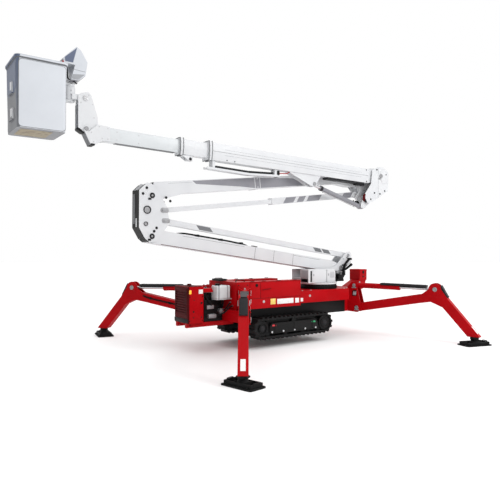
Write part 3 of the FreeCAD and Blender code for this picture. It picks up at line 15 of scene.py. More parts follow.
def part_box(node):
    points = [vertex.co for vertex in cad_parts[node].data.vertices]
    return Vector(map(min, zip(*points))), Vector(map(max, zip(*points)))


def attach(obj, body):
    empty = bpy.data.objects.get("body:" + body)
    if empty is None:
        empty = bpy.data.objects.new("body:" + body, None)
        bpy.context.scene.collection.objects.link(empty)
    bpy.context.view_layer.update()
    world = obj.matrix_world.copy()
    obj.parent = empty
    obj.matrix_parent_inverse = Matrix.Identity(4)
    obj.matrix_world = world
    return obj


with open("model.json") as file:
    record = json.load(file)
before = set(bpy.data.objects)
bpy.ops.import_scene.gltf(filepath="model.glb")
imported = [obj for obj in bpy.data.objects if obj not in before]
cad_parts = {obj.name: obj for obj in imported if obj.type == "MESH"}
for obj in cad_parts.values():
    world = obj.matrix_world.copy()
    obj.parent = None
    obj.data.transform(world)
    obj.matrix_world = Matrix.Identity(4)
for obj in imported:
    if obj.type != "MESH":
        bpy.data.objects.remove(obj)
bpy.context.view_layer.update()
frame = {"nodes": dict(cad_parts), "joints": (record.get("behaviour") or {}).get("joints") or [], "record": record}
BASKET_MIDDLE = (4.09, -0.025)
LOG = logging.getLogger("spider_lift")
SHARP_ANGLE = math.radians(35.0)
EDGE_ANGLE = math.radians(38.0)
FLAT_ANGLE = math.radians(0.5)
WELD_DISTANCE = 0.00005

Colour = tuple[float, float, float]
Point = Union[Vector, Sequence[float]]
X = Vector((1.0, 0.0, 0.0))
Y = Vector((0.0, 1.0, 0.0))
Z = Vector((0.0, 0.0, 1.0))


class Wire:
    """One output socket of a node tree; arithmetic on it adds Math nodes."""

    def __init__(self, tree: "Tree", socket: bpy.types.NodeSocket) -> None:
        """Wraps a socket.

        Args:
            tree: the tree that the socket belongs to.
            socket: the output socket itself.
        """
        self.tree = tree
        self.socket = socket

    def _math(self, operation: str, first: "Operand", second: "Operand" = 0.0) -> "Wire":
        """Adds a Math node of the given operation and returns its output."""
        return self.tree.node("ShaderNodeMath", {"operation": operation}, {0: first, 1: second})

    def __add__(self, other: "Operand") -> "Wire":
        """Sum."""
        return self._math("ADD", self, other)

    def __radd__(self, other: "Operand") -> "Wire":
        """Sum, with the number first."""
        return self._math("ADD", other, self)

    def __rsub__(self, other: "Operand") -> "Wire":
        """Difference, with the number first."""
        return self._math("SUBTRACT", other, self)

    def __mul__(self, other: "Operand") -> "Wire":
        """Product."""
        return self._math("MULTIPLY", self, other)

    def __rmul__(self, other: "Operand") -> "Wire":
        """Product, with the number first."""
        return self._math("MULTIPLY", other, self)

    def clamped(self) -> "Wire":
        """The value held between 0 and 1."""
        return self.tree.node("ShaderNodeClamp", {}, {"Value": self})


Operand = Union[Wire, float]


class Tree:
    """A node tree, with one method that makes any node."""

    def __init__(self, owner: bpy.types.Material | bpy.types.World) -> None:
        """Empties the owner's tree.

        Args:
            owner: the material or world that the tree belongs to.
        """
        self.owner = owner
        self.owner.use_nodes = True
        self.nodes = self.owner.node_tree.nodes
        self.links = self.owner.node_tree.links
        self.nodes.clear()

    @classmethod
    def of_material(cls, name: str) -> "Tree":
        """The empty tree of a new material."""
        return cls(bpy.data.materials.new(name))

    def node(self, kind: str, settings: dict | None = None, sockets: dict | None = None,
             output: int | str = 0) -> Wire:
        """Adds a node.

        Args:
            kind: the node's type.
            settings: its properties, set first; "stops" holds a ramp's (position, colour) pairs.
            sockets: values or wires for its inputs, by name or number.
            output: the output to return, by name or number.

        Returns:
            The chosen output.
        """
        made = self.nodes.new(kind)
        for key, value in (settings or {}).items():
            if key == "stops":
                self._set_stops(made.color_ramp, value)
            else:
                setattr(made, key, value)
        for key, value in (sockets or {}).items():
            if isinstance(value, Wire):
                self.links.new(value.socket, made.inputs[key])
            else:
                made.inputs[key].default_value = value
        return Wire(self, made.outputs[output])

    @staticmethod
    def _set_stops(ramp: bpy.types.ColorRamp, stops: Sequence[tuple[float, Colour]]) -> None:
        """Writes a ramp's stops."""
        while len(ramp.elements) < len(stops):
            ramp.elements.new(0.5)
        for element, (position, colour) in zip(ramp.elements, stops):
            element.position = position
            element.color = (*colour, 1.0)

    def place(self) -> Wire:
        """The point of the surface in the piece's own space, in metres."""
        return self.node("ShaderNodeTexCoord", output="Object")

    def noise(self, scale: float, detail: float = 4.0, stretch: Colour = (1.0, 1.0, 1.0)) -> Wire:
        """Cloudy noise from 0 to 1.

        Args:
            scale: patches per metre.
            detail: octaves.
            stretch: factors on X, Y and Z before the noise.

        Returns:
            The noise's value.
        """
        point = self.place()
        if stretch != (1.0, 1.0, 1.0):
            point = self.node("ShaderNodeVectorMath", {"operation": "MULTIPLY"}, {0: point, 1: stretch})
        return self.node("ShaderNodeTexNoise", {}, {"Vector": point, "Scale": scale, "Detail": detail})

    def band(self, value: Wire, low: float, high: float) -> Wire:
        """0 below low, 1 above high, smooth between.

        Args:
            value: what is measured.
            low: where the band starts.
            high: where it ends.

        Returns:
            The mask.
        """
        return self.node("ShaderNodeMapRange", {"interpolation_type": "SMOOTHSTEP"},
                         {"Value": value, "From Min": low, "From Max": high})

    def mix(self, mask: Operand, first: "Wire | Colour", second: "Wire | Colour") -> Wire:
        """Blends two colours.

        Args:
            mask: 0 gives the first colour, 1 the second.
            first: a colour.
            second: a colour.

        Returns:
            The blended colour.
        """
        def ready(colour: "Wire | Colour") -> "Wire | tuple":
            """Adds a plain colour's alpha."""
            return colour if isinstance(colour, Wire) else (*colour, 1.0)

        return self.node("ShaderNodeMix", {"data_type": "RGBA"},
                         {0: mask, 6: ready(first), 7: ready(second)}, output=2)

    def part(self, vector: Wire, name: str) -> Wire:
        """One part of a vector, by its letter."""
        return self.node("ShaderNodeSeparateXYZ", {}, {0: vector}, name)

    def facing_up(self) -> Wire:
        """How far the surface faces upward, from 0 to 1."""
        normal = self.node("ShaderNodeNewGeometry", output="Normal")
        upward = self.node("ShaderNodeVectorMath", {"operation": "DOT_PRODUCT"}, {0: normal, 1: (0, 0, 1)},
                           "Value")
        return upward.clamped()

    def bump(self, height: Wire, strength: float, distance: float) -> Wire:
        """Bump from a height.

        Args:
            height: the surface's height, from 0 to 1.
            strength: how strongly it shows.
            distance: the height of 1, in metres.

        Returns:
            The bumped normal.
        """
        return self.node("ShaderNodeBump", {}, {"Height": height, "Strength": strength,
                                                "Distance": distance})

    def surface(self, sockets: dict) -> bpy.types.Material:
        """Adds the shader and the output.

        Args:
            sockets: values or wires for the shader's inputs.

        Returns:
            The finished material.
        """
        shader = self.node("ShaderNodeBsdfPrincipled", {}, sockets)
        output = self.nodes.new("ShaderNodeOutputMaterial")
        self.links.new(shader.socket, output.inputs["Surface"])
        return self.owner


@dataclass(frozen=True)
class Paint:
    """Sprayed paint: faint cloudiness, orange peel, and dust on faces that look up."""

    name: str
    colour: Colour
    shade: Colour
    roughness: float = 0.3
    coat: float = 0.5
    dust: float = 0.12
    dust_colour: Colour = (0.42, 0.4, 0.37)
    peel: float = 0.12
    gloss: float = 0.3

    def make(self) -> bpy.types.Material:
        """Builds the material."""
        tree = Tree.of_material(self.name)
        clouds = tree.noise(2.3, 5.0)
        fine = tree.noise(38.0, 6.0)
        speck = tree.band(tree.noise(160.0, 3.0), 0.62, 0.72)
        colour = tree.mix(tree.band(clouds, 0.35, 0.75), self.colour, self.shade)
        dusty = tree.facing_up() * tree.band(fine, 0.42, 0.7) * self.dust + speck * (self.dust * 0.35)
        colour = tree.mix(dusty.clamped(), colour, self.dust_colour)
        rough = self.roughness + 0.12 * fine + 0.5 * dusty
        normal = tree.bump(tree.noise(420.0, 2.0), self.peel, 0.0006)
        return tree.surface({"Base Color": colour, "Roughness": rough, "Coat Weight": self.coat,
                             "Coat Roughness": 0.08, "Specular IOR Level": self.gloss, "Normal": normal})


@dataclass(frozen=True)
class Rubber:
    """Moulded black rubber, with paler scuffs."""

    name: str
    colour: Colour = (0.006, 0.006, 0.0065)
    scuff: Colour = (0.03, 0.029, 0.028)
    grain: float = 240.0

    def make(self) -> bpy.types.Material:
        """Builds the material."""
        tree = Tree.of_material(self.name)
        patch = tree.band(tree.noise(14.0, 6.0), 0.48, 0.8)
        colour = tree.mix(patch * 0.55, self.colour, self.scuff)
        rough = 0.62 + 0.25 * patch
        normal = tree.bump(tree.noise(self.grain, 5.0), 0.35, 0.0012)
        return tree.surface({"Base Color": colour, "Roughness": rough, "Normal": normal,
                             "Specular IOR Level": 0.16})


@dataclass(frozen=True)
class Metal:
    """Bare or plated metal with fine machining lines."""

    name: str
    colour: Colour
    roughness: float = 0.22
    lines: Colour = (900.0, 40.0, 40.0)
    stain: Colour = (0.2, 0.19, 0.18)

    def make(self) -> bpy.types.Material:
        """Builds the material."""
        tree = Tree.of_material(self.name)
        grain = tree.noise(1.0, 3.0, self.lines)
        stained = tree.band(tree.noise(9.0, 5.0), 0.55, 0.85)
        colour = tree.mix(stained * 0.35, self.colour, self.stain)
        rough = self.roughness + 0.16 * grain + 0.15 * stained
        normal = tree.bump(grain, 0.1, 0.0003)
        return tree.surface({"Base Color": colour, "Roughness": rough, "Metallic": 1.0, "Normal": normal})


@dataclass(frozen=True)
class Moulding:
    """Gel coat or moulded plastic: smooth, with faint waves and a fine grain."""

    name: str
    colour: Colour
    shade: Colour
    roughness: float = 0.38
    coat: float = 0.25
    subsurface: float = 0.0
    wave: float = 0.25

    def make(self) -> bpy.types.Material:
        """Builds the material."""
        tree = Tree.of_material(self.name)
        clouds = tree.noise(1.7, 4.0)
        fine = tree.noise(75.0, 5.0)
        colour = tree.mix(tree.band(clouds, 0.3, 0.8), self.colour, self.shade)
        grime = tree.band(tree.noise(12.0, 6.0, (1.0, 1.0, 0.25)), 0.58, 0.9)
        colour = tree.mix(grime * 0.16, colour, (0.35, 0.34, 0.32))
        rough = self.roughness + 0.14 * fine + 0.1 * grime
        height = tree.noise(7.0, 2.0) + 0.08 * fine
        normal = tree.bump(height, self.wave, 0.002)
        return tree.surface({"Base Color": colour, "Roughness": rough, "Coat Weight": self.coat,
                             "Coat Roughness": 0.12, "Subsurface Weight": self.subsurface,
                             "Subsurface Radius": (0.02, 0.02, 0.02), "Normal": normal})


@dataclass(frozen=True)
class Board:
    """Varnished board, with long grain."""

    name: str
    light: Colour = (0.27, 0.22, 0.13)
    dark: Colour = (0.16, 0.12, 0.065)

    def make(self) -> bpy.types.Material:
        """Builds the material."""
        tree = Tree.of_material(self.name)
        grain = tree.noise(1.0, 6.0, (6.0, 60.0, 60.0))
        rings = tree.node("ShaderNodeTexWave", {"wave_type": "RINGS"},
                          {"Vector": tree.place(), "Scale": 7.0, "Distortion": 9.0, "Detail": 3.0}, "Fac")
        pattern = (0.6 * grain + 0.4 * rings).clamped()
        colour = tree.mix(tree.band(pattern, 0.25, 0.75), self.light, self.dark)
        return tree.surface({"Base Color": colour, "Roughness": 0.4 + 0.2 * grain,
                             "Normal": tree.bump(pattern, 0.2, 0.0008)})


@dataclass(frozen=True)
class Label:
    """A blank label: printed film in one colour, with blots of a second colour and no words."""

    name: str
    colour: Colour = (0.86, 0.86, 0.84)
    mark: Colour = (0.6, 0.6, 0.6)
    pitch: float = 90.0

    def make(self) -> bpy.types.Material:
        """Builds the material."""
        tree = Tree.of_material(self.name)
        blot = tree.band(tree.noise(self.pitch, 2.0, (1.0, 1.0, 0.3)), 0.55, 0.6)
        colour = tree.mix(blot * 0.45, self.colour, self.mark)
        return tree.surface({"Base Color": colour, "Roughness": 0.35 + 0.1 * blot,
                             "Normal": tree.bump(blot, 0.05, 0.0002)})


@dataclass(frozen=True)
class Lens:
    """Coloured lens of a marker lamp, ribbed inside, with a faint painted glow."""

    name: str
    colour: Colour

    def make(self) -> bpy.types.Material:
        """Builds the material."""
        tree = Tree.of_material(self.name)
        ribs = tree.node("ShaderNodeTexWave", {"bands_direction": "Z"},
                         {"Vector": tree.place(), "Scale": 90.0}, "Fac")
        colour = tree.mix(ribs * 0.3, self.colour, (0.9, 0.6, 0.1))
        # The emission is a painted glow: no lamp lights the lens.
        return tree.surface({"Base Color": colour, "Roughness": 0.12 + 0.05 * ribs,
                             "Emission Color": colour, "Emission Strength": 0.6,
                             "Normal": tree.bump(ribs, 0.3, 0.001)})


class Finish(Enum):
    """Every finish on the machine."""

    RED = Paint("red_paint", (0.43, 0.0006, 0.004), (0.36, 0.0005, 0.003), roughness=0.38, coat=0.03,
                dust=0.01, gloss=0.07)
    # This darkened red is painted shade on the engine box's front face, its louvres and the cover seams; it is
    # also the darker red of small parts such as the pull handle and the luff lever.
    DARK_RED = Paint("dark_red_paint_and_shade", (0.085, 0.001, 0.003), (0.055, 0.001, 0.002), roughness=0.45,
                     coat=0.0, dust=0.02, gloss=0.1)
    WHITE = Paint("white_paint", (0.66, 0.67, 0.685), (0.62, 0.63, 0.65), roughness=0.36, coat=0.1,
                  dust=0.06)
    SHADE = Paint("grey_recess", (0.16, 0.165, 0.175), (0.12, 0.125, 0.13), roughness=0.5, coat=0.0)
    BLACK = Paint("black_paint", (0.004, 0.004, 0.0045), (0.007, 0.007, 0.007), roughness=0.42, coat=0.02,
                  dust=0.05, dust_colour=(0.06, 0.058, 0.055), gloss=0.16)
    GREY = Paint("grey_paint", (0.34, 0.35, 0.37), (0.28, 0.29, 0.31), roughness=0.42, coat=0.1)
    # This grey is the upper arm's printed stripe and the luff barrel's grey, and also painted shadow on the upper
    # link and painted shade under the control hood.
    STRIPE = Paint("grey_stripe_and_shade", (0.25, 0.25, 0.275), (0.21, 0.21, 0.235), roughness=0.36, coat=0.2,
                   dust=0.05)
    # This blue-grey is painted shade with a blue tint, for the basket's front face and the hood's opening.
    BLUE_GREY = Moulding("blue_grey_shade", (0.11, 0.14, 0.215), (0.08, 0.1, 0.165), coat=0.05, wave=0.35)
    GUARD = Paint("dark_guard", (0.012, 0.012, 0.014), (0.02, 0.02, 0.022), roughness=0.45, coat=0.02,
                  dust=0.05, dust_colour=(0.1, 0.1, 0.1), gloss=0.2)
    RUBBER = Rubber("track_rubber")
    HOSE = Rubber("hose_rubber", (0.005, 0.005, 0.0055), (0.018, 0.018, 0.018), 500.0)
    STEEL = Metal("plated_steel", (0.66, 0.66, 0.68))
    ZINC = Metal("zinc_fixings", (0.55, 0.55, 0.56), 0.34, (200.0, 200.0, 200.0))
    CAST = Metal("cast_metal", (0.36, 0.36, 0.37), 0.5, (160.0, 160.0, 160.0), (0.08, 0.08, 0.08))
    BASKET = Moulding("basket_shell", (0.61, 0.635, 0.675), (0.56, 0.585, 0.625), wave=0.35)
    BASKET_SHADE = Moulding("basket_shade", (0.17, 0.175, 0.19), (0.13, 0.135, 0.15), coat=0.05, wave=0.2)
    BOOM_SHELL = Moulding("boom_shell", (0.63, 0.655, 0.67), (0.58, 0.605, 0.62), 0.35, 0.15)
    TANK = Moulding("tank_shell", (0.68, 0.715, 0.725), (0.6, 0.63, 0.64), 0.35, 0.2, 0.2, 0.5)
    BOARD = Board("floor_board")
    LABEL = Label("blank_label")
    WARM_LABEL = Label("warm_label", (0.85, 0.62, 0.12), (0.85, 0.83, 0.78), 70.0)
    RED_MARK = Label("red_mark", (0.6, 0.02, 0.03), (0.5, 0.02, 0.02))
    GREEN_MARK = Label("green_mark", (0.02, 0.35, 0.14), (0.02, 0.28, 0.12))
    AMBER = Lens("amber_lens", (0.95, 0.42, 0.03))
    RED_LENS = Lens("red_lens", (0.55, 0.01, 0.01))

    def material(self) -> bpy.types.Material:
        """The finish's material, made when it is first asked for."""
        return bpy.data.materials.get(self.value.name) or self.value.make()


class Slot(Enum):
    """The record's material slots."""

    RED = "red"
    WHITE = "white"
    RUBBER = "rubber"
    BLACK = "black_metal"
    GREY = "grey_metal"
    STEEL = "steel"
    TANK = "tank"
    SHELL = "fibreglass"
    BASKET = "basket"
    HOOD = "hood"


USUAL_SLOTS = {
    Slot.RED: (Finish.RED, Finish.DARK_RED, Finish.AMBER, Finish.RED_LENS),
    Slot.WHITE: (Finish.WHITE, Finish.LABEL, Finish.WARM_LABEL),
    Slot.BLACK: (Finish.BLACK, Finish.GUARD, Finish.HOSE, Finish.RUBBER,
                 Finish.RED_MARK, Finish.GREEN_MARK),
    Slot.GREY: (Finish.SHADE, Finish.GREY, Finish.STRIPE),
    Slot.STEEL: (Finish.STEEL, Finish.ZINC, Finish.CAST),
    Slot.TANK: (Finish.TANK,),
    Slot.BASKET: (Finish.BASKET, Finish.BLUE_GREY, Finish.BOARD),
    Slot.SHELL: (Finish.BOOM_SHELL,),
}


def usual_slot(finish: Finish) -> Slot:
    """The slot that a finish goes in where a piece names no other."""
    return next(slot for slot, finishes in USUAL_SLOTS.items() if finish in finishes)


def joint_of(name: str) -> dict:
    """The record of a joint.

    Args:
        name: the joint's name.

    Returns:
        Its place, axis and range.
    """
    return next(joint for joint in frame["joints"] if joint["name"] == name)


def pin(joint: str) -> Vector:
    """The place of a hinge at rest.

    Args:
        joint: the joint's name.

    Returns:
        Its point in the machine's frame, in metres.
    """
    return Vector(joint_of(joint)["pos_m"])


def side_name(side: int) -> str:
    """The word for a side: 1 is left, -1 is right."""
    return "left" if side > 0 else "right"


class Work:
    """A mesh in the making: forms are added to it, and it then becomes one piece."""

    def __init__(self, name: str, base: Matrix | None = None) -> None:
        """Starts an empty mesh.

        Args:
            name: the piece's name.
            base: the frame that its points are given in; None for the machine's own.
        """
        self.name = name
        self.base = base
        self.mesh = bmesh.new()

    def _added(self, verts: Sequence, bevel: float, segments: int = 2, limit: float = 35.0) -> None:
        """Rounds the sharp edges of the form just added.

        Args:
            verts: the form's vertices.
            bevel: the rounding's width, in metres; 0 leaves the edges sharp.
            segments: steps of the rounding.
            limit: the least angle between faces that is rounded, in degrees.
        """
        if bevel <= 0:
            return
        edges = {e for v in verts for e in v.link_edges}
        sharp = [e
                 for e in edges if len(e.link_faces) == 2 and e.calc_face_angle(0.0) > math.radians(limit)]
        bmesh.ops.bevel(self.mesh, geom=sharp, offset=bevel, segments=segments, profile=0.6, affect="EDGES",
                        clamp_overlap=True)

    def box(self, low: Point, high: Point, bevel: float = 0.002) -> "Work":
        """Adds an upright box.

        Args:
            low: one corner.
            high: the corner across from it.
            bevel: rounding of the edges.

        Returns:
            The work itself.
        """
        low, high = Vector(map(min, low, high)), Vector(map(max, low, high))
        size = high - low
        place = Matrix.Translation((low + high) / 2) @ Matrix.Diagonal((*size, 1.0))
        made = bmesh.ops.create_cube(self.mesh, size=1.0, matrix=place)
        self._added(made["verts"], min(bevel, min(size) * 0.45))
        return self

    def rod(self, start: Point, end: Point, radius: float, bevel: float = 0.0, sides: int = 24,
            end_radius: float | None = None) -> "Work":
        """Adds a round bar, or a cone where the end radius differs.

        Args:
            start: centre of one end.
            end: centre of the other.
            radius: radius at the start.
            bevel: rounding of the rims.
            sides: facets round it.
            end_radius: radius at the end.

        Returns:
            The work itself.
        """
        start, end = Vector(start), Vector(end)
        along = end - start
        turn = along.to_track_quat("Z", "Y").to_matrix().to_4x4()
        place = Matrix.Translation((start + end) / 2) @ turn
        made = bmesh.ops.create_cone(self.mesh, cap_ends=True, segments=sides, radius1=radius,
                                     radius2=radius if end_radius is None else end_radius,
                                     depth=along.length, matrix=place)
        self._added(made["verts"], bevel, 2, 50.0)
        return self

    def lathe(self, profile: Sequence[tuple[float, float]], centre: Point, axis: Point, sides: int = 32,
              closed: bool = False) -> "Work":
        """Turns a profile round an axis.

        Args:
            profile: (radius, height) points.
            centre: where height is 0.
            axis: the direction of height.
            sides: facets round it.
            closed: whether the last point joins the first.

        Returns:
            The work itself.
        """
        turn = Vector(axis).to_track_quat("Z", "Y").to_matrix()
        centre = Vector(centre)
        rings = []
        for radius, height in profile:
            if radius < 1e-6:
                rings.append([self.mesh.verts.new(centre + turn @ Vector((0, 0, height)))])
                continue
            rings.append([self.mesh.verts.new(centre + turn @ Vector((radius * math.cos(a),
                                                                      radius * math.sin(a), height)))
                          for a in (2 * math.pi * i / sides for i in range(sides))])
        pairs = list(zip(rings, rings[1:]))
        if closed:
            pairs.append((rings[-1], rings[0]))
        for lower, upper in pairs:
            for i in range(sides):
                j = (i + 1) % sides
                corners = []
                for vert in (lower[i % len(lower)], lower[j % len(lower)], upper[j % len(upper)],
                             upper[i % len(upper)]):
                    if vert not in corners:
                        corners.append(vert)
                if len(corners) > 2:
                    self.mesh.faces.new(corners)
        return self

    def plate(self, outline: Sequence[Point], depth: Point, bevel: float = 0.002) -> "Work":
        """Adds a flat plate.

        Args:
            outline: its corners, in order.
            depth: the vector from this face to the other.
            bevel: rounding of the edges.

        Returns:
            The work itself.
        """
        verts = [self.mesh.verts.new(Vector(p)) for p in outline]
        face = self.mesh.faces.new(verts)
        made = bmesh.ops.extrude_face_region(self.mesh, geom=[face])
        moved = [g for g in made["geom"] if isinstance(g, bmesh.types.BMVert)]
        bmesh.ops.translate(self.mesh, vec=Vector(depth), verts=moved)
        bmesh.ops.recalc_face_normals(self.mesh,
                                      faces=list({f for v in verts + moved for f in v.link_faces}))
        self._added(verts + moved, bevel)
        return self

    def profile(self, outline: Sequence[tuple[float, float]], y: float, depth: float,
                bevel: float = 0.002) -> "Work":
        """Adds a flat plate whose outline lies in X and Z.

        Args:
            outline: its (x, z) corners, in order.
            y: where this face lies.
            depth: from this face to the other, along Y.
            bevel: rounding of the edges.

        Returns:
            The work itself.
        """
        return self.plate([(x, y, z) for x, z in outline], Y * depth, bevel)

    def bolt(self, place: Point, axis: Point, size: float, washer: bool = True) -> "Work":
        """Adds a hexagon bolt head with a domed top.

        Args:
            place: where it sits on the surface.
            axis: the direction that it stands out in.
            size: radius of the head.
            washer: whether a washer lies under it.

        Returns:
            The work itself.
        """
        place, axis = Vector(place), Vector(axis).normalized()
        if washer:
            self.rod(place - axis * 0.001, place + axis * size * 0.22, size * 1.35, size * 0.06, 20)
        self.lathe([(0.0, size * 0.2), (size, size * 0.2), (size, size * 0.72), (size * 0.82, size * 0.88),
                    (0.0, size * 0.9)], place, axis, 6)
        return self

    def bolts(self, places: Sequence[Point], axis: Point, size: float) -> "Work":
        """Adds a bolt head at each place."""
        for place in places:
            self.bolt(place, axis, size)
        return self

    def hose(self, points: Sequence[Point], radius: float, sides: int = 10, steps: int = 6) -> "Work":
        """Adds a round pipe along a smooth line through its points.

        Args:
            points: the pipe's line.
            radius: its radius.
            sides: facets round it.
            steps: rings per run.

        Returns:
            The work itself.
        """
        line = smooth_line([Vector(p) for p in points], steps)
        before = None
        across = (line[1] - line[0]).orthogonal().normalized()
        for i, point in enumerate(line):
            along = (line[min(i + 1, len(line) - 1)] - line[max(i - 1, 0)]).normalized()
            across = (across - along * across.dot(along)).normalized()
            other = along.cross(across)
            ring = [
                self.mesh.verts.new(point + radius * (math.cos(a) * across + math.sin(a) * other))
                for a in (2 * math.pi * k / sides for k in range(sides))
            ]
            if before:
                for k in range(sides):
                    self.mesh.faces.new((before[k], before[(k + 1) % sides], ring[(k + 1) % sides],
                                         ring[k]))
            else:
                self.mesh.faces.new(list(reversed(ring)))
            before = ring
        self.mesh.faces.new(before)
        return self

    def become(self, finish: Finish, body: str, slot: Slot | None = None) -> None:
        """Makes the piece.

        Args:
            finish: its finish.
            body: the body that it rides on.
            slot: the record's slot for its material; None for the finish's usual one.
        """
        slot = slot or usual_slot(finish)
        if self.base:
            self.mesh.transform(self.base)
        bmesh.ops.recalc_face_normals(self.mesh, faces=self.mesh.faces)
        data = bpy.data.meshes.new(self.name)
        self.mesh.to_mesh(data)
        self.mesh.free()
        data.polygons.foreach_set("use_smooth", [True] * len(data.polygons))
        data.set_sharp_from_angle(angle=SHARP_ANGLE)
        piece = bpy.data.objects.new(self.name, data)
        bpy.context.scene.collection.objects.link(piece)
        data.materials.append(finish.material())
        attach(piece, body)
        LOG.info("piece %s on %s", self.name, body)


def smooth_line(points: Sequence[Vector], steps: int) -> list[Vector]:
    """A smooth line through points, by Catmull-Rom spans.

    Args:
        points: what it passes through.
        steps: points per span.

    Returns:
        The line's points.
    """
    ends = [2 * points[0] - points[1], *points, 2 * points[-1] - points[-2]]
    line = []
    for a, b, c, d in zip(ends, ends[1:], ends[2:], ends[3:]):
        for k in range(steps):
            t = k / steps
            line.append(0.5 * ((2 * b) + (c - a) * t + (2 * a - 5 * b + 4 * c - d) * t ** 2
                               + (3 * b - a - 3 * c + d) * t ** 3))
    line.append(points[-1].copy())
    return line


def dress(node: str, finish: Finish, round_edges: float = 0.004) -> None:
    """Gives a solid of the frame its finish and rounded edges.

    Args:
        node: the solid's name.
        finish: its finish.
        round_edges: width of the rounding, in metres; 0 leaves its faces as they are.
    """
    solid = frame["nodes"][node]
    solid.data.materials.clear()
    solid.data.materials.append(finish.material())
    if not round_edges:
        return
    solid.data.polygons.foreach_set("use_smooth", [True] * len(solid.data.polygons))
    weld = solid.modifiers.new("weld", "WELD")
    weld.merge_threshold = WELD_DISTANCE
    flat = solid.modifiers.new("flat", "DECIMATE")
    flat.decimate_type = "DISSOLVE"
    flat.angle_limit = FLAT_ANGLE
    flat.delimit = {"MATERIAL"}
    edge = solid.modifiers.new("edge", "BEVEL")
    edge.width = round_edges
    edge.segments = 2
    edge.limit_method = "ANGLE"
    edge.angle_limit = EDGE_ANGLE
    edge.use_clamp_overlap = True
    solid.modifiers.new("normals", "WEIGHTED_NORMAL")
    LOG.info("dressed %s", node)


def paint(node: str, finish: Finish, chosen: Callable[[Vector], bool]) -> None:
    """Gives some faces of a solid of the frame another finish.

    Args:
        node: the solid's name.
        finish: their finish.
        chosen: tells from a face's middle, in the machine's frame, whether it is one of them.
    """
    solid = frame["nodes"][node]
    solid.data.materials.append(finish.material())
    number = len(solid.data.materials) - 1
    for face in solid.data.polygons:
        if chosen(solid.matrix_world @ face.center):
            face.material_index = number


@dataclass(frozen=True)
class Plane:
    """A working frame for trim: its own X, Y and Z in the machine's frame."""

    origin: Vector
    along: Vector
    across: Vector

    def matrix(self) -> Matrix:
        """The frame as a matrix that takes its own points to the machine's."""
        along = self.along.normalized()
        across = self.across.normalized()
        up = along.cross(across)
        turn = Matrix((along, across, up)).transposed().to_4x4()
        return Matrix.Translation(self.origin) @ turn


def between(start: Vector, end: Vector, across: Vector = Y) -> Matrix:
    """The frame at one pin, with X towards another.

    Args:
        start: the first pin.
        end: the second pin.
        across: the direction of the pins.

    Returns:
        The frame's matrix.
    """
    return Plane(start, end - start, across).matrix()


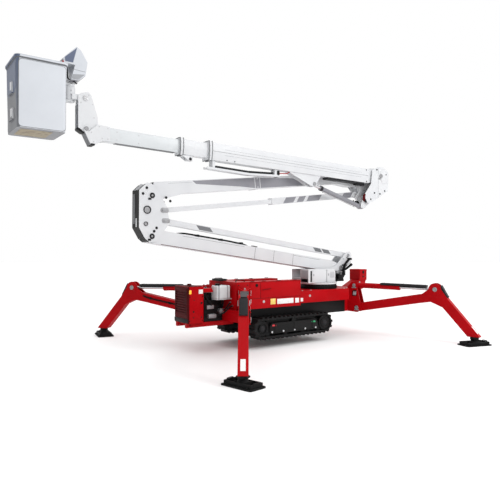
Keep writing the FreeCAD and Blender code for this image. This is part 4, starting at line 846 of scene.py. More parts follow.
@dataclass
class Tracks:
    """Both crawler tracks: their guards, wheel faces, bolts and marks."""

    belt_y: float = 0.453
    wheel_face: float = 0.09
    centre_z: float = 0.325
    idler_x: float = 0.769
    sprocket_x: float = -0.599
    wheel_radius: float = 0.129
    guard_x: tuple[float, float] = (-0.44, 0.615)
    bolt_count: int = 5

    def build(self) -> None:
        """Builds both sides."""
        for side in (1, -1):
            self.side(side)

    def side(self, side: int) -> None:
        """Builds one side's trim.

        Args:
            side: 1 for left, -1 for right.
        """
        name = side_name(side)
        out = Y * side
        face = side * (self.belt_y + self.wheel_face)
        rear, front = self.guard_x
        low, high = self.centre_z - 0.1, self.centre_z + 0.075
        outline = [(rear, face, low + 0.03), (rear + 0.03, face, low), (front - 0.03, face, low),
                   (front, face, low + 0.03), (front, face, high - 0.05), (front - 0.05, face, high),
                   (rear + 0.05, face, high), (rear, face, high - 0.05)]
        guard = Work("track_guard_" + name).plate(outline, out * 0.016, 0.004)
        for x in (rear + 0.12, (rear + front) / 2, front - 0.12):
            guard.box((x - 0.012, face + side * 0.014 - 0.004, low + 0.02),
                      (x + 0.012, face + side * 0.014 + 0.008, high - 0.015), 0.003)
        inner = sorted((side * 0.4, side * 0.5))
        guard.box((rear - 0.02, inner[0] + 0.005, 0.38), (front + 0.02, inner[1] - 0.005, 0.448), 0.004)
        guard.box((rear - 0.07, inner[0], 0.25), (rear + 0.03, inner[1], 0.405), 0.006)
        guard.box((front - 0.03, inner[0], 0.25), (front + 0.07, inner[1], 0.405), 0.006)
        guard.become(Finish.BLACK, "chassis")
        step = (front - rear - 0.1) / (self.bolt_count - 1)
        places = [(rear + 0.05 + i * step, face + side * 0.016, low + 0.03) for i in range(self.bolt_count)]
        piece = Work("track_guard_bolts_" + name).bolts(places, out, 0.012)
        piece.become(Finish.WHITE, "chassis", Slot.STEEL)
        self.wheel("idler_face_" + name, self.idler_x, face, out, 5)
        self.wheel("sprocket_face_" + name, self.sprocket_x, face, out, 9)
        for mark, x, finish in (("red", 0.52, Finish.RED_MARK), ("green", -0.34, Finish.GREEN_MARK)):
            mark_z = self.centre_z + 0.035
            piece = Work(f"track_{mark}_mark_{name}")
            piece.profile([(x - 0.045, mark_z - 0.014), (x + 0.045, mark_z - 0.01),
                           (x + 0.035, mark_z + 0.016), (x - 0.04, mark_z + 0.012)], face + side * 0.0162,
                          side * 0.0012, 0.0)
            piece.become(finish, "chassis")

    def wheel(self, name: str, x: float, face: float, out: Vector, holes: int) -> None:
        """Adds an end wheel's dished face with its bolts.

        Args:
            name: the piece's name.
            x: the wheel's place.
            face: the wheel's outer face.
            out: outward direction.
            holes: how many bolts it has.
        """
        centre = Vector((x, face, self.centre_z))
        radius = self.wheel_radius
        dish = Work(name)
        dish.lathe([(0.092, 0.0), (radius, 0.0), (radius, 0.012), (radius - 0.012, 0.018), (0.1, 0.012),
                    (0.092, 0.014)], centre, out, 40, closed=True)
        for i in range(holes * 2):
            turn = math.pi * i / holes
            point = centre + Vector((math.cos(turn), 0, math.sin(turn))) * (radius - 0.006)
            dish.rod(point + out * 0.002, point + out * 0.02, 0.008, 0.002, 8)
        dish.become(Finish.BLACK, "chassis")
        hub = centre + out * 0.022
        cap = Work(name + "_cap")
        cap.lathe([(0.0, 0.014), (0.03, 0.012), (0.042, 0.006), (0.046, 0.0), (0.0, 0.0)], hub, out, 32)
        for i in range(6):
            turn = math.pi * i / 3
            cap.bolt(hub + Vector((math.cos(turn), 0, math.sin(turn))) * 0.034 + out * 0.004, out, 0.006,
                     False)
        cap.become(Finish.GUARD, "chassis")


@dataclass
class Covers:
    """Side covers: seams, latches, labels, lid handles and the bulkhead's side plates."""

    face: float = 0.42
    front: float = 0.92
    rear: float = -0.17
    top: float = 1.08
    split: float = 0.802
    door: float = 0.7
    labels: tuple[tuple[float, float, float, float], ...] = (
        (0.385, 0.49, 0.69, 0.785), (-0.005, 0.35, 0.69, 0.775), (-0.13, -0.045, 0.69, 0.77),
    )
    deck_side: float = 0.4

    def build(self) -> None:
        """Builds both sides."""
        for side in (1, -1):
            self.seams(side)
            self.fittings(side)
            self.bulkhead(side)
        self.deck()

    def seams(self, side: int) -> None:
        """Adds the shadow lines between the cover's panels.

        Args:
            side: 1 for left, -1 for right.
        """
        y = sorted((side * self.face, side * (self.face + 0.0012)))
        line = Work("cover_seams_" + side_name(side))
        line.box((self.rear + 0.004, y[0], self.split - 0.003),
                 (self.front - 0.004, y[1], self.split + 0.003), 0.0)
        line.box((self.door - 0.003, y[0], self.split), (self.door + 0.003, y[1], self.top - 0.012), 0.0)
        line.box((self.rear + 0.004, y[0], self.top - 0.014), (self.front - 0.004, y[1], self.top - 0.009),
                 0.0)
        line.become(Finish.DARK_RED, "chassis")
        panel = Work("cover_panels_" + side_name(side))
        for low, high in (((self.rear + 0.02, self.split + 0.014), (self.door - 0.014, self.top - 0.026)),
                          ((self.door + 0.014, self.split + 0.014),
                           (self.front - 0.016, self.top - 0.026))):
            panel.box((low[0], y[0], low[1]), (high[0], y[0] + 0.0035 if side > 0 else y[1], high[1]),
                      0.0015)
        panel.become(Finish.RED, "chassis")

    def fittings(self, side: int) -> None:
        """Adds the latch, pull handle, lifting eyes, blank labels and lid hinges.

        Args:
            side: 1 for left, -1 for right.
        """
        out = Y * side
        skin = side * (self.face + 0.0035)
        name = side_name(side)
        latch = Work("cover_latches_" + name)
        x, z = 0.776, 1.018
        latch.lathe([(0.0, 0.004), (0.012, 0.004), (0.014, 0.009), (0.024, 0.009), (0.028, 0.0)],
                    (x, skin - side * 0.001, z), out, 28)
        latch.box((x - 0.003, skin, z - 0.013), (x + 0.003, skin + side * 0.011, z + 0.013), 0.001)
        latch.become(Finish.BLACK, "chassis")
        pull = Work("cover_pull_" + name)
        pull.hose([(0.5, skin - side * 0.002, 0.955), (0.502, skin + side * 0.02, 0.955),
                   (0.525, skin + side * 0.024, 0.955), (0.635, skin + side * 0.024, 0.945),
                   (0.658, skin + side * 0.02, 0.94), (0.66, skin - side * 0.002, 0.94)], 0.005)
        pull.become(Finish.DARK_RED, "chassis")
        eyes = Work("lifting_eyes_" + name)
        for x, y, z in ((0.63, self.face, 0.745), (-0.4, self.deck_side, 0.79)):
            eyes.lathe([(0.0, 0.005), (0.009, 0.006), (0.013, 0.003), (0.021, 0.003), (0.022, 0.0),
                        (0.0, 0.0)], (x, side * y, z), out, 24)
        eyes.become(Finish.ZINC, "chassis")
        for i, (x0, x1, z0, z1) in enumerate(self.labels):
            y = sorted((side * self.face, side * (self.face + 0.0016)))
            finish = Finish.WARM_LABEL if i == 0 else Finish.LABEL
            piece = Work(f"blank_label_{i}_{name}").box((x0, y[0], z0), (x1, y[1], z1), 0.0004)
            piece.become(finish, "chassis", Slot.WHITE)
        y = sorted((side * self.deck_side, side * (self.deck_side + 0.0016)))
        piece = Work("blank_label_deck_" + name).box((-0.24, y[0], 0.7), (-0.18, y[1], 0.76), 0.0004)
        piece.become(Finish.LABEL, "chassis")
        hinge = Work("cover_hinges_" + name)
        for x in (-0.05, 0.3, 0.62, 0.85):
            y_in = side * (self.face - 0.012)
            hinge.rod((x - 0.035, y_in, self.top + 0.003), (x + 0.035, y_in, self.top + 0.003), 0.006,
                      0.001, 14)
            hinge.box((x - 0.03, y_in, self.top - 0.001),
                      (x + 0.03, y_in - side * 0.04, self.top + 0.003), 0.001)
        hinge.become(Finish.BLACK, "chassis")

    def bulkhead(self, side: int) -> None:
        """Adds the plate, bolts and horn on the bulkhead's side.

        Args:
            side: 1 for left, -1 for right.
        """
        out = Y * side
        y = side * self.face
        name = side_name(side)
        piece = Work("bulkhead_plate_" + name)
        piece.profile([(0.935, 0.9), (1.16, 0.9), (1.16, 1.04), (1.13, 1.066), (0.935, 1.066)], y,
                      side * 0.006, 0.002)
        piece.become(Finish.RED, "chassis")
        bolts = [(x, y + side * 0.006, z) for x in (0.96, 1.135) for z in (0.925, 1.03)]
        Work("bulkhead_bolts_" + name).bolts(bolts, out, 0.008).become(Finish.BLACK, "chassis")
        horn = Work("horn_" + name)
        horn.lathe([(0.0, 0.012), (0.02, 0.012), (0.024, 0.03), (0.044, 0.034), (0.048, 0.026),
                    (0.046, 0.0), (0.0, 0.0)], (1.04, y, 0.79), out, 36)
        horn.become(Finish.BLACK, "chassis")

    def deck(self) -> None:
        """Adds bolts and tie points on the rear deck, and the grab rail over the bulkhead."""
        bolts = [(x, side * 0.37, 0.88) for side in (1, -1) for x in (-0.25, -0.45, -1.28)]
        bolts += [(x, side * 0.3, 0.88) for side in (1, -1) for x in (-1.42, -1.66)]
        Work("deck_bolts").bolts(bolts, Z, 0.012).become(Finish.ZINC, "chassis")
        rail = Work("bulkhead_rail")
        for side in (1, -1):
            y = side * 0.33
            rail.hose([(0.96, y, 1.078), (0.962, y, 1.1), (0.985, y, 1.112), (1.1, y, 1.112),
                       (1.123, y, 1.1), (1.125, y, 1.078)], 0.008)
        rail.become(Finish.BLACK, "chassis")


@dataclass
class EngineEnd:
    """Radiator box, the engine's fittings, tank straps and the boom rest's pad."""

    box_front: float = 1.935
    box_rear: float = 1.655
    half: float = 0.228
    bottom: float = 0.46
    top: float = 1.025

    def build(self) -> None:
        """Builds the whole end."""
        self.radiator()
        self.engine()
        self.tank()
        self.rest()

    def radiator(self) -> None:
        """Adds the louvred front's frame and blades in painted shade, the dark foot, the side's lamp, label and
        openings.
        """
        x = self.box_front
        # The front's frame and blades are the darkened red: painted shade, like the front face they sit on.
        frame_piece = Work("louvre_frame")
        frame_piece.box((x - 0.001, -self.half + 0.03, self.top - 0.05),
                        (x + 0.006, self.half - 0.03, self.top - 0.035))
        for y in (-self.half + 0.034, self.half - 0.046):
            frame_piece.box((x - 0.001, y, self.bottom + 0.1), (x + 0.006, y + 0.012, self.top - 0.036))
        frame_piece.become(Finish.DARK_RED, "chassis")
        blades = Work("louvre_blades")
        pitch = (self.top - self.bottom - 0.22) / 9
        for i in range(9):
            z = self.top - 0.06 - (i + 1) * pitch
            blades.profile([(x - 0.013, z + 0.003), (x + 0.004, z - 0.006), (x + 0.004, z - 0.003),
                            (x - 0.013, z + 0.006)], -self.half + 0.052, 2 * self.half - 0.104, 0.0)
        blades.become(Finish.DARK_RED, "chassis")
        piece = Work("radiator_foot")
        piece.profile([(x - 0.004, self.bottom - 0.004), (x + 0.006, self.bottom + 0.02),
                       (x + 0.006, self.bottom + 0.07), (x - 0.004, self.bottom + 0.07)],
                      -self.half + 0.012, 2 * self.half - 0.024, 0.002)
        piece.become(Finish.BLACK, "chassis")
        for side in (1, -1):
            y = side * self.half
            out = Y * side
            name = side_name(side)
            lamp = Work("marker_lamp_" + name)
            lamp.box((1.885, y, 0.915), (1.92, y + side * 0.014, 0.975), 0.006)
            lamp.become(Finish.AMBER, "chassis")
            piece = Work("radiator_label_" + name)
            piece.box((1.675, y, 0.915), (1.75, y + side * 0.0015, 0.98), 0.0)
            piece.become(Finish.LABEL, "chassis")
            holes = Work("radiator_holes_" + name)
            for hole_x, hole_z, radius in ((1.7, 0.77, 0.016), (1.84, 0.64, 0.013), (1.84, 0.55, 0.009),
                                           (1.7, 0.55, 0.009), (1.83, 0.82, 0.008)):
                holes.lathe([(0.0, 0.001), (radius * 0.7, 0.001), (radius, 0.003), (radius * 1.2, 0.0)],
                            (hole_x, y, hole_z), out, 20)
            holes.become(Finish.BLACK, "chassis")
            bolts = [(bx, y, bz) for bx in (1.685, 1.905) for bz in (0.5, 0.87)]
            Work("radiator_bolts_" + name).bolts(bolts, out, 0.007).become(Finish.DARK_RED, "chassis")
        top = Work("radiator_lid")
        top.box((self.box_rear + 0.02, -self.half + 0.02, self.top - 0.001),
                (self.box_front - 0.03, self.half - 0.02, self.top + 0.008), 0.004)
        top.bolts([(bx, by, self.top + 0.008) for bx in (1.7, 1.88) for by in (-0.18, 0.18)], Z, 0.008)
        top.lathe([(0.0, 0.03), (0.028, 0.03), (0.034, 0.024), (0.034, 0.0)], (1.79, 0.0, self.top + 0.007),
                  Z, 28)
        top.become(Finish.DARK_RED, "chassis")

    def engine(self) -> None:
        """Adds the parts that show round the engine: filter, pump, starter, hoses and battery."""
        cast = Work("engine_castings")
        for side in (1, -1):
            y = side * 0.165
            cast.rod((1.33, y, 0.62), (1.33, y + side * 0.07, 0.62), 0.045, 0.006)
            cast.rod((1.33, y + side * 0.066, 0.62), (1.33, y + side * 0.085, 0.62), 0.02, 0.003)
            cast.rod((1.43, y + side * 0.035, 0.55), (1.57, y + side * 0.035, 0.55), 0.036, 0.006)
            cast.box((1.45, y, 0.66), (1.58, y + side * 0.03, 0.72), 0.008)
        cast.rod((1.5, -0.05, 0.8), (1.5, -0.05, 0.87), 0.05, 0.01)
        cast.become(Finish.CAST, "chassis")
        ribs = Work("engine_ribs")
        for i in range(6):
            z = 0.5 + i * 0.045
            for side in (1, -1):
                y = side * 0.165
                ribs.box((1.3, y, z), (1.42, y + side * 0.012, z + 0.014), 0.003)
        ribs.box((1.31, -0.13, 0.799), (1.44, 0.1, 0.855), 0.012)
        ribs.become(Finish.BLACK, "chassis")
        air = Work("air_filter")
        air.lathe([(0.0, 0.0), (0.055, 0.0), (0.062, 0.008), (0.062, 0.06), (0.057, 0.066), (0.057, 0.15),
                   (0.062, 0.156), (0.062, 0.17), (0.05, 0.184), (0.0, 0.188)], (1.545, 0.08, 0.86), -X, 36)
        air.become(Finish.BLACK, "chassis")
        hoses = Work("engine_hoses")
        hoses.hose([(1.36, 0.1, 0.86), (1.3, 0.12, 0.86), (1.27, 0.17, 0.8), (1.29, 0.19, 0.7),
                    (1.33, 0.22, 0.66)], 0.014)
        hoses.hose([(1.655, 0.14, 0.92), (1.6, 0.15, 0.9), (1.56, 0.17, 0.82), (1.52, 0.19, 0.76),
                    (1.5, 0.18, 0.71)], 0.016)
        hoses.hose([(1.655, -0.14, 0.56), (1.62, -0.16, 0.55), (1.6, -0.19, 0.5), (1.5, -0.2, 0.51)], 0.014)
        hoses.hose([(1.175, 0.26, 0.75), (1.22, 0.27, 0.73), (1.27, 0.26, 0.66), (1.32, 0.235, 0.63)],
                   0.011)
        hoses.hose([(1.175, 0.33, 0.7), (1.25, 0.34, 0.69), (1.34, 0.31, 0.6), (1.42, 0.2, 0.56)], 0.011)
        hoses.hose([(1.175, -0.3, 0.72), (1.26, -0.3, 0.7), (1.33, -0.26, 0.64)], 0.013)
        hoses.become(Finish.HOSE, "chassis")
        bracket = Work("filter_bracket")
        bracket.profile([(1.47, 0.93), (1.655, 0.93), (1.655, 0.99), (1.5, 0.99)], 0.11, 0.1, 0.003)
        bracket.become(Finish.RED, "chassis")
        battery = Work("battery")
        battery.box((1.3, -0.3, 0.81), (1.46, -0.14, 0.94), 0.008)
        battery.box((1.305, -0.295, 0.935), (1.455, -0.145, 0.955), 0.005)
        for y in (-0.27, -0.17):
            battery.rod((1.33, y, 0.95), (1.33, y, 0.972), 0.01, 0.002, 16)
        battery.box((1.173, -0.29, 0.795), (1.47, -0.15, 0.811), 0.003)
        battery.become(Finish.BLACK, "chassis")
        ends = Work("hose_ends")
        for end in ((1.175, 0.26, 0.75), (1.175, 0.33, 0.7), (1.175, -0.3, 0.72)):
            ends.rod(end, Vector(end) + X * 0.03, 0.016, 0.002, 6)
        ends.rod((1.64, 0.14, 0.92), (1.655, 0.14, 0.92), 0.021, 0.002, 6)
        ends.become(Finish.ZINC, "chassis")

    def tank(self) -> None:
        """Adds the ribbed cap, straps and ridges of the oil tank."""
        cap = Work("tank_cap")
        cap.lathe([(0.0, 0.032), (0.03, 0.032), (0.036, 0.026), (0.037, 0.004), (0.04, 0.0), (0.0, 0.0)],
                  (1.4, 0.21, 1.03), Z, 32)
        for i in range(14):
            turn = 2 * math.pi * i / 14
            foot = Vector((1.4, 0.21, 1.034)) + Vector((math.cos(turn), math.sin(turn), 0)) * 0.037
            cap.rod(foot, foot + Z * 0.02, 0.003, 0.0, 6)
        cap.become(Finish.BLACK, "chassis")
        straps = Work("tank_straps")
        for x in (1.265, 1.425):
            for y0, y1, z0, z1 in ((0.3, 0.3025, 0.815, 1.03), (0.1175, 0.12, 0.815, 1.03),
                                   (0.118, 0.302, 1.03, 1.0325)):
                straps.box((x - 0.011, y0, z0), (x + 0.011, y1, z1), 0.001)
        straps.become(Finish.GREY, "chassis")
        lines = Work("tank_ridges")
        for z in (0.86, 0.895, 0.93, 0.965, 1.0):
            lines.box((1.232, 0.299, z - 0.003), (1.438, 0.3018, z + 0.003), 0.001)
        for x in (1.225, 1.33, 1.45):
            lines.box((x - 0.004, 0.299, 0.845), (x + 0.004, 0.302, 1.008), 0.001)
        lines.become(Finish.TANK, "chassis")

    def rest(self) -> None:
        """Adds the rubber ribs and side plates of the boom rest."""
        pad = Work("rest_ribs")
        for i in range(9):
            y = -0.2 + i * 0.0235
            pad.box((1.094, y, 1.112), (1.236, y + 0.011, 1.1178), 0.002)
        pad.become(Finish.RUBBER, "chassis")
        post = Work("rest_side_plates")
        for y in (-0.181, -0.035):
            post.profile([(1.03, 1.081), (1.16, 1.081), (1.222, 1.083), (1.11, 1.083)], y, 0.006, 0.0)
        post.become(Finish.RED, "chassis")


@dataclass
class Outrigger:
    """One leg's trim, made in the leg's own plane: X outward from its root pin, Y across it."""

    name: str
    half_width: float = 0.065
    root_z: float = 0.515
    knee: tuple[float, float] = (1.43, 0.909)
    shin: tuple[float, float] = (2.072, 0.25)
    reach: float = 2.065

    def build(self) -> None:
        """Builds the leg's trim."""
        root = pin(f"leg_{self.name}_lift")
        axis = Vector(joint_of(f"leg_{self.name}_lift")["axis"])
        self.along = Vector((-axis.y, axis.x, 0.0))
        self.across = Z.cross(self.along)
        self.leg = Plane(Vector((root.x, root.y, 0.0)), self.along, self.across).matrix()
        knee = self.leg @ Vector((self.knee[0], 0.0, self.knee[1]))
        self.ram = between(pin(f"leg_{self.name}_barrel_pivot"), knee, self.across)
        self.colours()
        self.bracket()
        self.arm()
        self.cylinder()
        self.foot()

    def colours(self) -> None:
        """Paints the cylinder's guard apart from its rod."""
        inverse = self.ram.inverted()

        def on_guard(point: Vector) -> bool:
            """Whether a face is part of the guard."""
            local = inverse @ point
            return math.hypot(local.y, local.z) > 0.0275 and local.x < 1.36

        paint(f"leg_rod_{self.name}", Finish.GUARD, on_guard)

    def bracket(self) -> None:
        """Adds pin caps, keeper plates, bolts, pipes, black plates and a label on the chassis bracket."""
        caps = Work(f"bracket_caps_{self.name}", self.leg)
        for side in (1, -1):
            out = Y * side
            for s, z, radius in ((0.0, self.root_z, 0.034), (-0.05, 0.93, 0.029)):
                face = side * 0.0935
                caps.lathe([(0.0, 0.004), (radius * 0.5, 0.004), (radius * 0.62, 0.0075), (radius, 0.0065),
                            (radius * 1.12, 0.0), (0.0, 0.0)], (s, face, z), out, 32)
                keeper = side * 0.088
                caps.box((s - 0.045, keeper, z - 0.054),
                         (s + 0.045, keeper + side * 0.005, z - 0.032), 0.002)
                caps.bolts([(s - 0.032, keeper + side * 0.005, z - 0.043),
                            (s + 0.032, keeper + side * 0.005, z - 0.043)], out, 0.006)
        caps.become(Finish.CAST, "chassis")
        edges = Work(f"bracket_edges_{self.name}", self.leg)
        for side in (1, -1):
            keeper = side * 0.088
            for s, z in ((0.03, 0.62), (0.02, 0.74), (-0.08, 0.84)):
                edges.bolt((s, keeper, z), Y * side, 0.009)
        edges.become(Finish.RED, "chassis")
        hollow = Work(f"bracket_hollow_{self.name}", self.leg)
        for side in (1, -1):
            y = sorted((side * 0.087, side * 0.0895))
            hollow.box((-0.085, y[0], 0.73), (0.0, y[1], 0.84), 0.001)
        hollow.become(Finish.BLACK, "chassis")
        pipes = Work(f"bracket_pipes_{self.name}", self.leg)
        for side in (1, -1):
            for s in (-0.065, -0.042, -0.019):
                pipes.rod((s, side * 0.089, 0.745), (s + 0.012, side * 0.094, 0.82), 0.006, 0.001, 12)
                pipes.rod((s + 0.004, side * 0.09, 0.77), (s + 0.006, side * 0.0925, 0.785), 0.009, 0.001,
                          6)
        pipes.become(Finish.STEEL, "chassis")
        piece = Work(f"bracket_label_{self.name}", self.leg)
        piece.box((-0.06, 0.088, 0.64), (0.0, 0.0892, 0.72), 0.0)
        piece.become(Finish.LABEL, "chassis")

    def arm(self) -> None:
        """Adds the knee's pin caps, the hoses and clips along the leg, and the shin's blank label."""
        caps = Work(f"knee_caps_{self.name}", self.leg)
        for side in (1, -1):
            face = side * (self.half_width + 0.0055)
            caps.lathe([(0.0, 0.003), (0.014, 0.003), (0.02, 0.008), (0.034, 0.007), (0.04, 0.0),
                        (0.0, 0.0)], (self.knee[0], face, self.knee[1]), Y * side, 32)
        caps.become(Finish.CAST, f"leg_{self.name}")
        plates = Work(f"knee_plates_{self.name}", self.leg)
        for side in (1, -1):
            face = side * (self.half_width - 0.0005)
            plates.lathe([(0.042, 0.0), (0.1, 0.0), (0.1, 0.004), (0.042, 0.004)],
                         (self.knee[0], face, self.knee[1]), Y * side, 48, closed=True)
        plates.become(Finish.RED, f"leg_{self.name}")
        hose = Work(f"leg_hoses_{self.name}", self.leg)
        lateral = 0.072
        for drop in (0.0, 0.018):
            hose.hose([(0.26, lateral, 0.59 - drop), (0.4, lateral, 0.617 - drop),
                       (0.7, lateral, 0.67 - drop), (1.05, lateral, 0.735 - drop),
                       (1.2, lateral, 0.78 - drop)], 0.0065)
        hose.become(Finish.HOSE, f"leg_{self.name}")
        clips = Work(f"leg_clips_{self.name}", self.leg)
        for s, z in ((0.32, 0.59), (0.66, 0.652), (1.04, 0.724)):
            clips.box((s - 0.014, self.half_width - 0.001, z - 0.022),
                      (s + 0.014, self.half_width + 0.016, z + 0.024), 0.003)
            clips.bolt((s, self.half_width + 0.016, z + 0.001), Y, 0.006, False)
        clips.become(Finish.BLACK, f"leg_{self.name}")
        slope = Vector((0.51, 0.0, -0.605)).normalized()
        normal = Vector((0.605, 0.0, 0.51)).normalized()
        middle = Vector((self.shin[0], 0.0, self.shin[1]))
        corners = [middle + slope * a * 0.076 + Y * b * 0.031
                   for a, b in ((-1, -1), (1, -1), (1, 1), (-1, 1))]
        piece = Work(f"shin_label_{self.name}", self.leg)
        piece.plate([c - normal * 0.001 for c in corners], normal * 0.0026, 0.0)
        piece.become(Finish.LABEL, f"leg_{self.name}")
        cover = Work(f"knee_cover_{self.name}", self.leg)
        cover.profile(((1.525, 0.98), (1.535, 0.984), (1.65, 0.778), (1.636, 0.772), (1.534, 0.92)), -0.056,
                      0.112, 0.002)
        cover.bolts([(1.641, y, 0.795) for y in (-0.04, 0.04)], normal, 0.008)
        cover.become(Finish.GUARD, f"leg_{self.name}")

    def cylinder(self) -> None:
        """Adds the gland and port of the leg's cylinder, and the guard's screws and strips."""
        ports = Work(f"ram_ports_{self.name}", self.ram)
        ports.rod((0.075, 0.0, 0.044), (0.075, 0.0, 0.066), 0.013, 0.002, 6)
        ports.rod((0.075, 0.0, 0.064), (0.075, 0.0, 0.074), 0.008, 0.001, 14)
        ports.lathe([(0.0505, 0.0), (0.0525, 0.0), (0.0525, 0.012), (0.0505, 0.012)], (0.83, 0, 0), X, 32,
                    closed=True)
        ports.become(Finish.ZINC, f"leg_barrel_{self.name}")
        screws = Work(f"guard_screws_{self.name}", self.ram)
        screws.bolts([(x, y, 0.0648) for x in (0.54, 0.9, 1.29) for y in (-0.045, 0.045)], Z, 0.006)
        screws.box((0.51, -0.05, 0.0645), (1.32, -0.042, 0.0665), 0.001)
        screws.box((0.51, 0.042, 0.0645), (1.32, 0.05, 0.0665), 0.001)
        screws.become(Finish.GUARD, f"leg_rod_{self.name}")

    def foot(self) -> None:
        """Adds the ankle's clamp, the pad's grips and its edge."""
        ankle = Work(f"ankle_{self.name}", self.leg)
        centre = (self.reach, 0.0, 0.0)
        ankle.lathe([(0.0515, 0.09), (0.066, 0.093), (0.07, 0.1), (0.07, 0.128), (0.064, 0.138),
                     (0.0515, 0.139)], centre, Z, 40, closed=True)
        for side in (1, -1):
            ankle.box((self.reach - 0.02, side * 0.066 - 0.012, 0.1),
                      (self.reach + 0.02, side * 0.066 + 0.012, 0.128), 0.004)
            ankle.bolt((self.reach, side * 0.078, 0.114), Y * side, 0.008)
        ankle.become(Finish.BLACK, f"leg_{self.name}")
        middle = sum(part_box("pad_" + self.name), Vector()) / 2
        turn = math.radians(101.0 if "front" in self.name else 163.0) * (1 if "left" in self.name else -1)
        pad = Plane(Vector((middle.x, middle.y, 0.0)), Vector((math.cos(turn), math.sin(turn), 0.0)),
                    Vector((-math.sin(turn), math.cos(turn), 0.0))).matrix()
        grips = Work(f"pad_grips_{self.name}", pad)
        for end in (1, -1):
            x = end * 0.215
            grips.hose([(x, -0.05, 0.045), (x, -0.052, 0.062), (x, -0.035, 0.07), (x, 0.035, 0.07),
                        (x, 0.052, 0.062), (x, 0.05, 0.045)], 0.007)
            for y in (-0.12, 0.12):
                grips.rod((end * 0.18, y, 0.015), (end * 0.18, y, 0.034), 0.012, 0.002, 16)
        grips.become(Finish.BLACK, f"leg_{self.name}")
        treads = Work(f"pad_treads_{self.name}", pad)
        for i in range(9):
            x = -0.16 + i * 0.04
            for y in (-0.131, 0.111):
                treads.box((x - 0.008, y, 0.017), (x + 0.008, y + 0.02, 0.0235), 0.002)
        treads.become(Finish.RUBBER, f"leg_{self.name}", Slot.RUBBER)


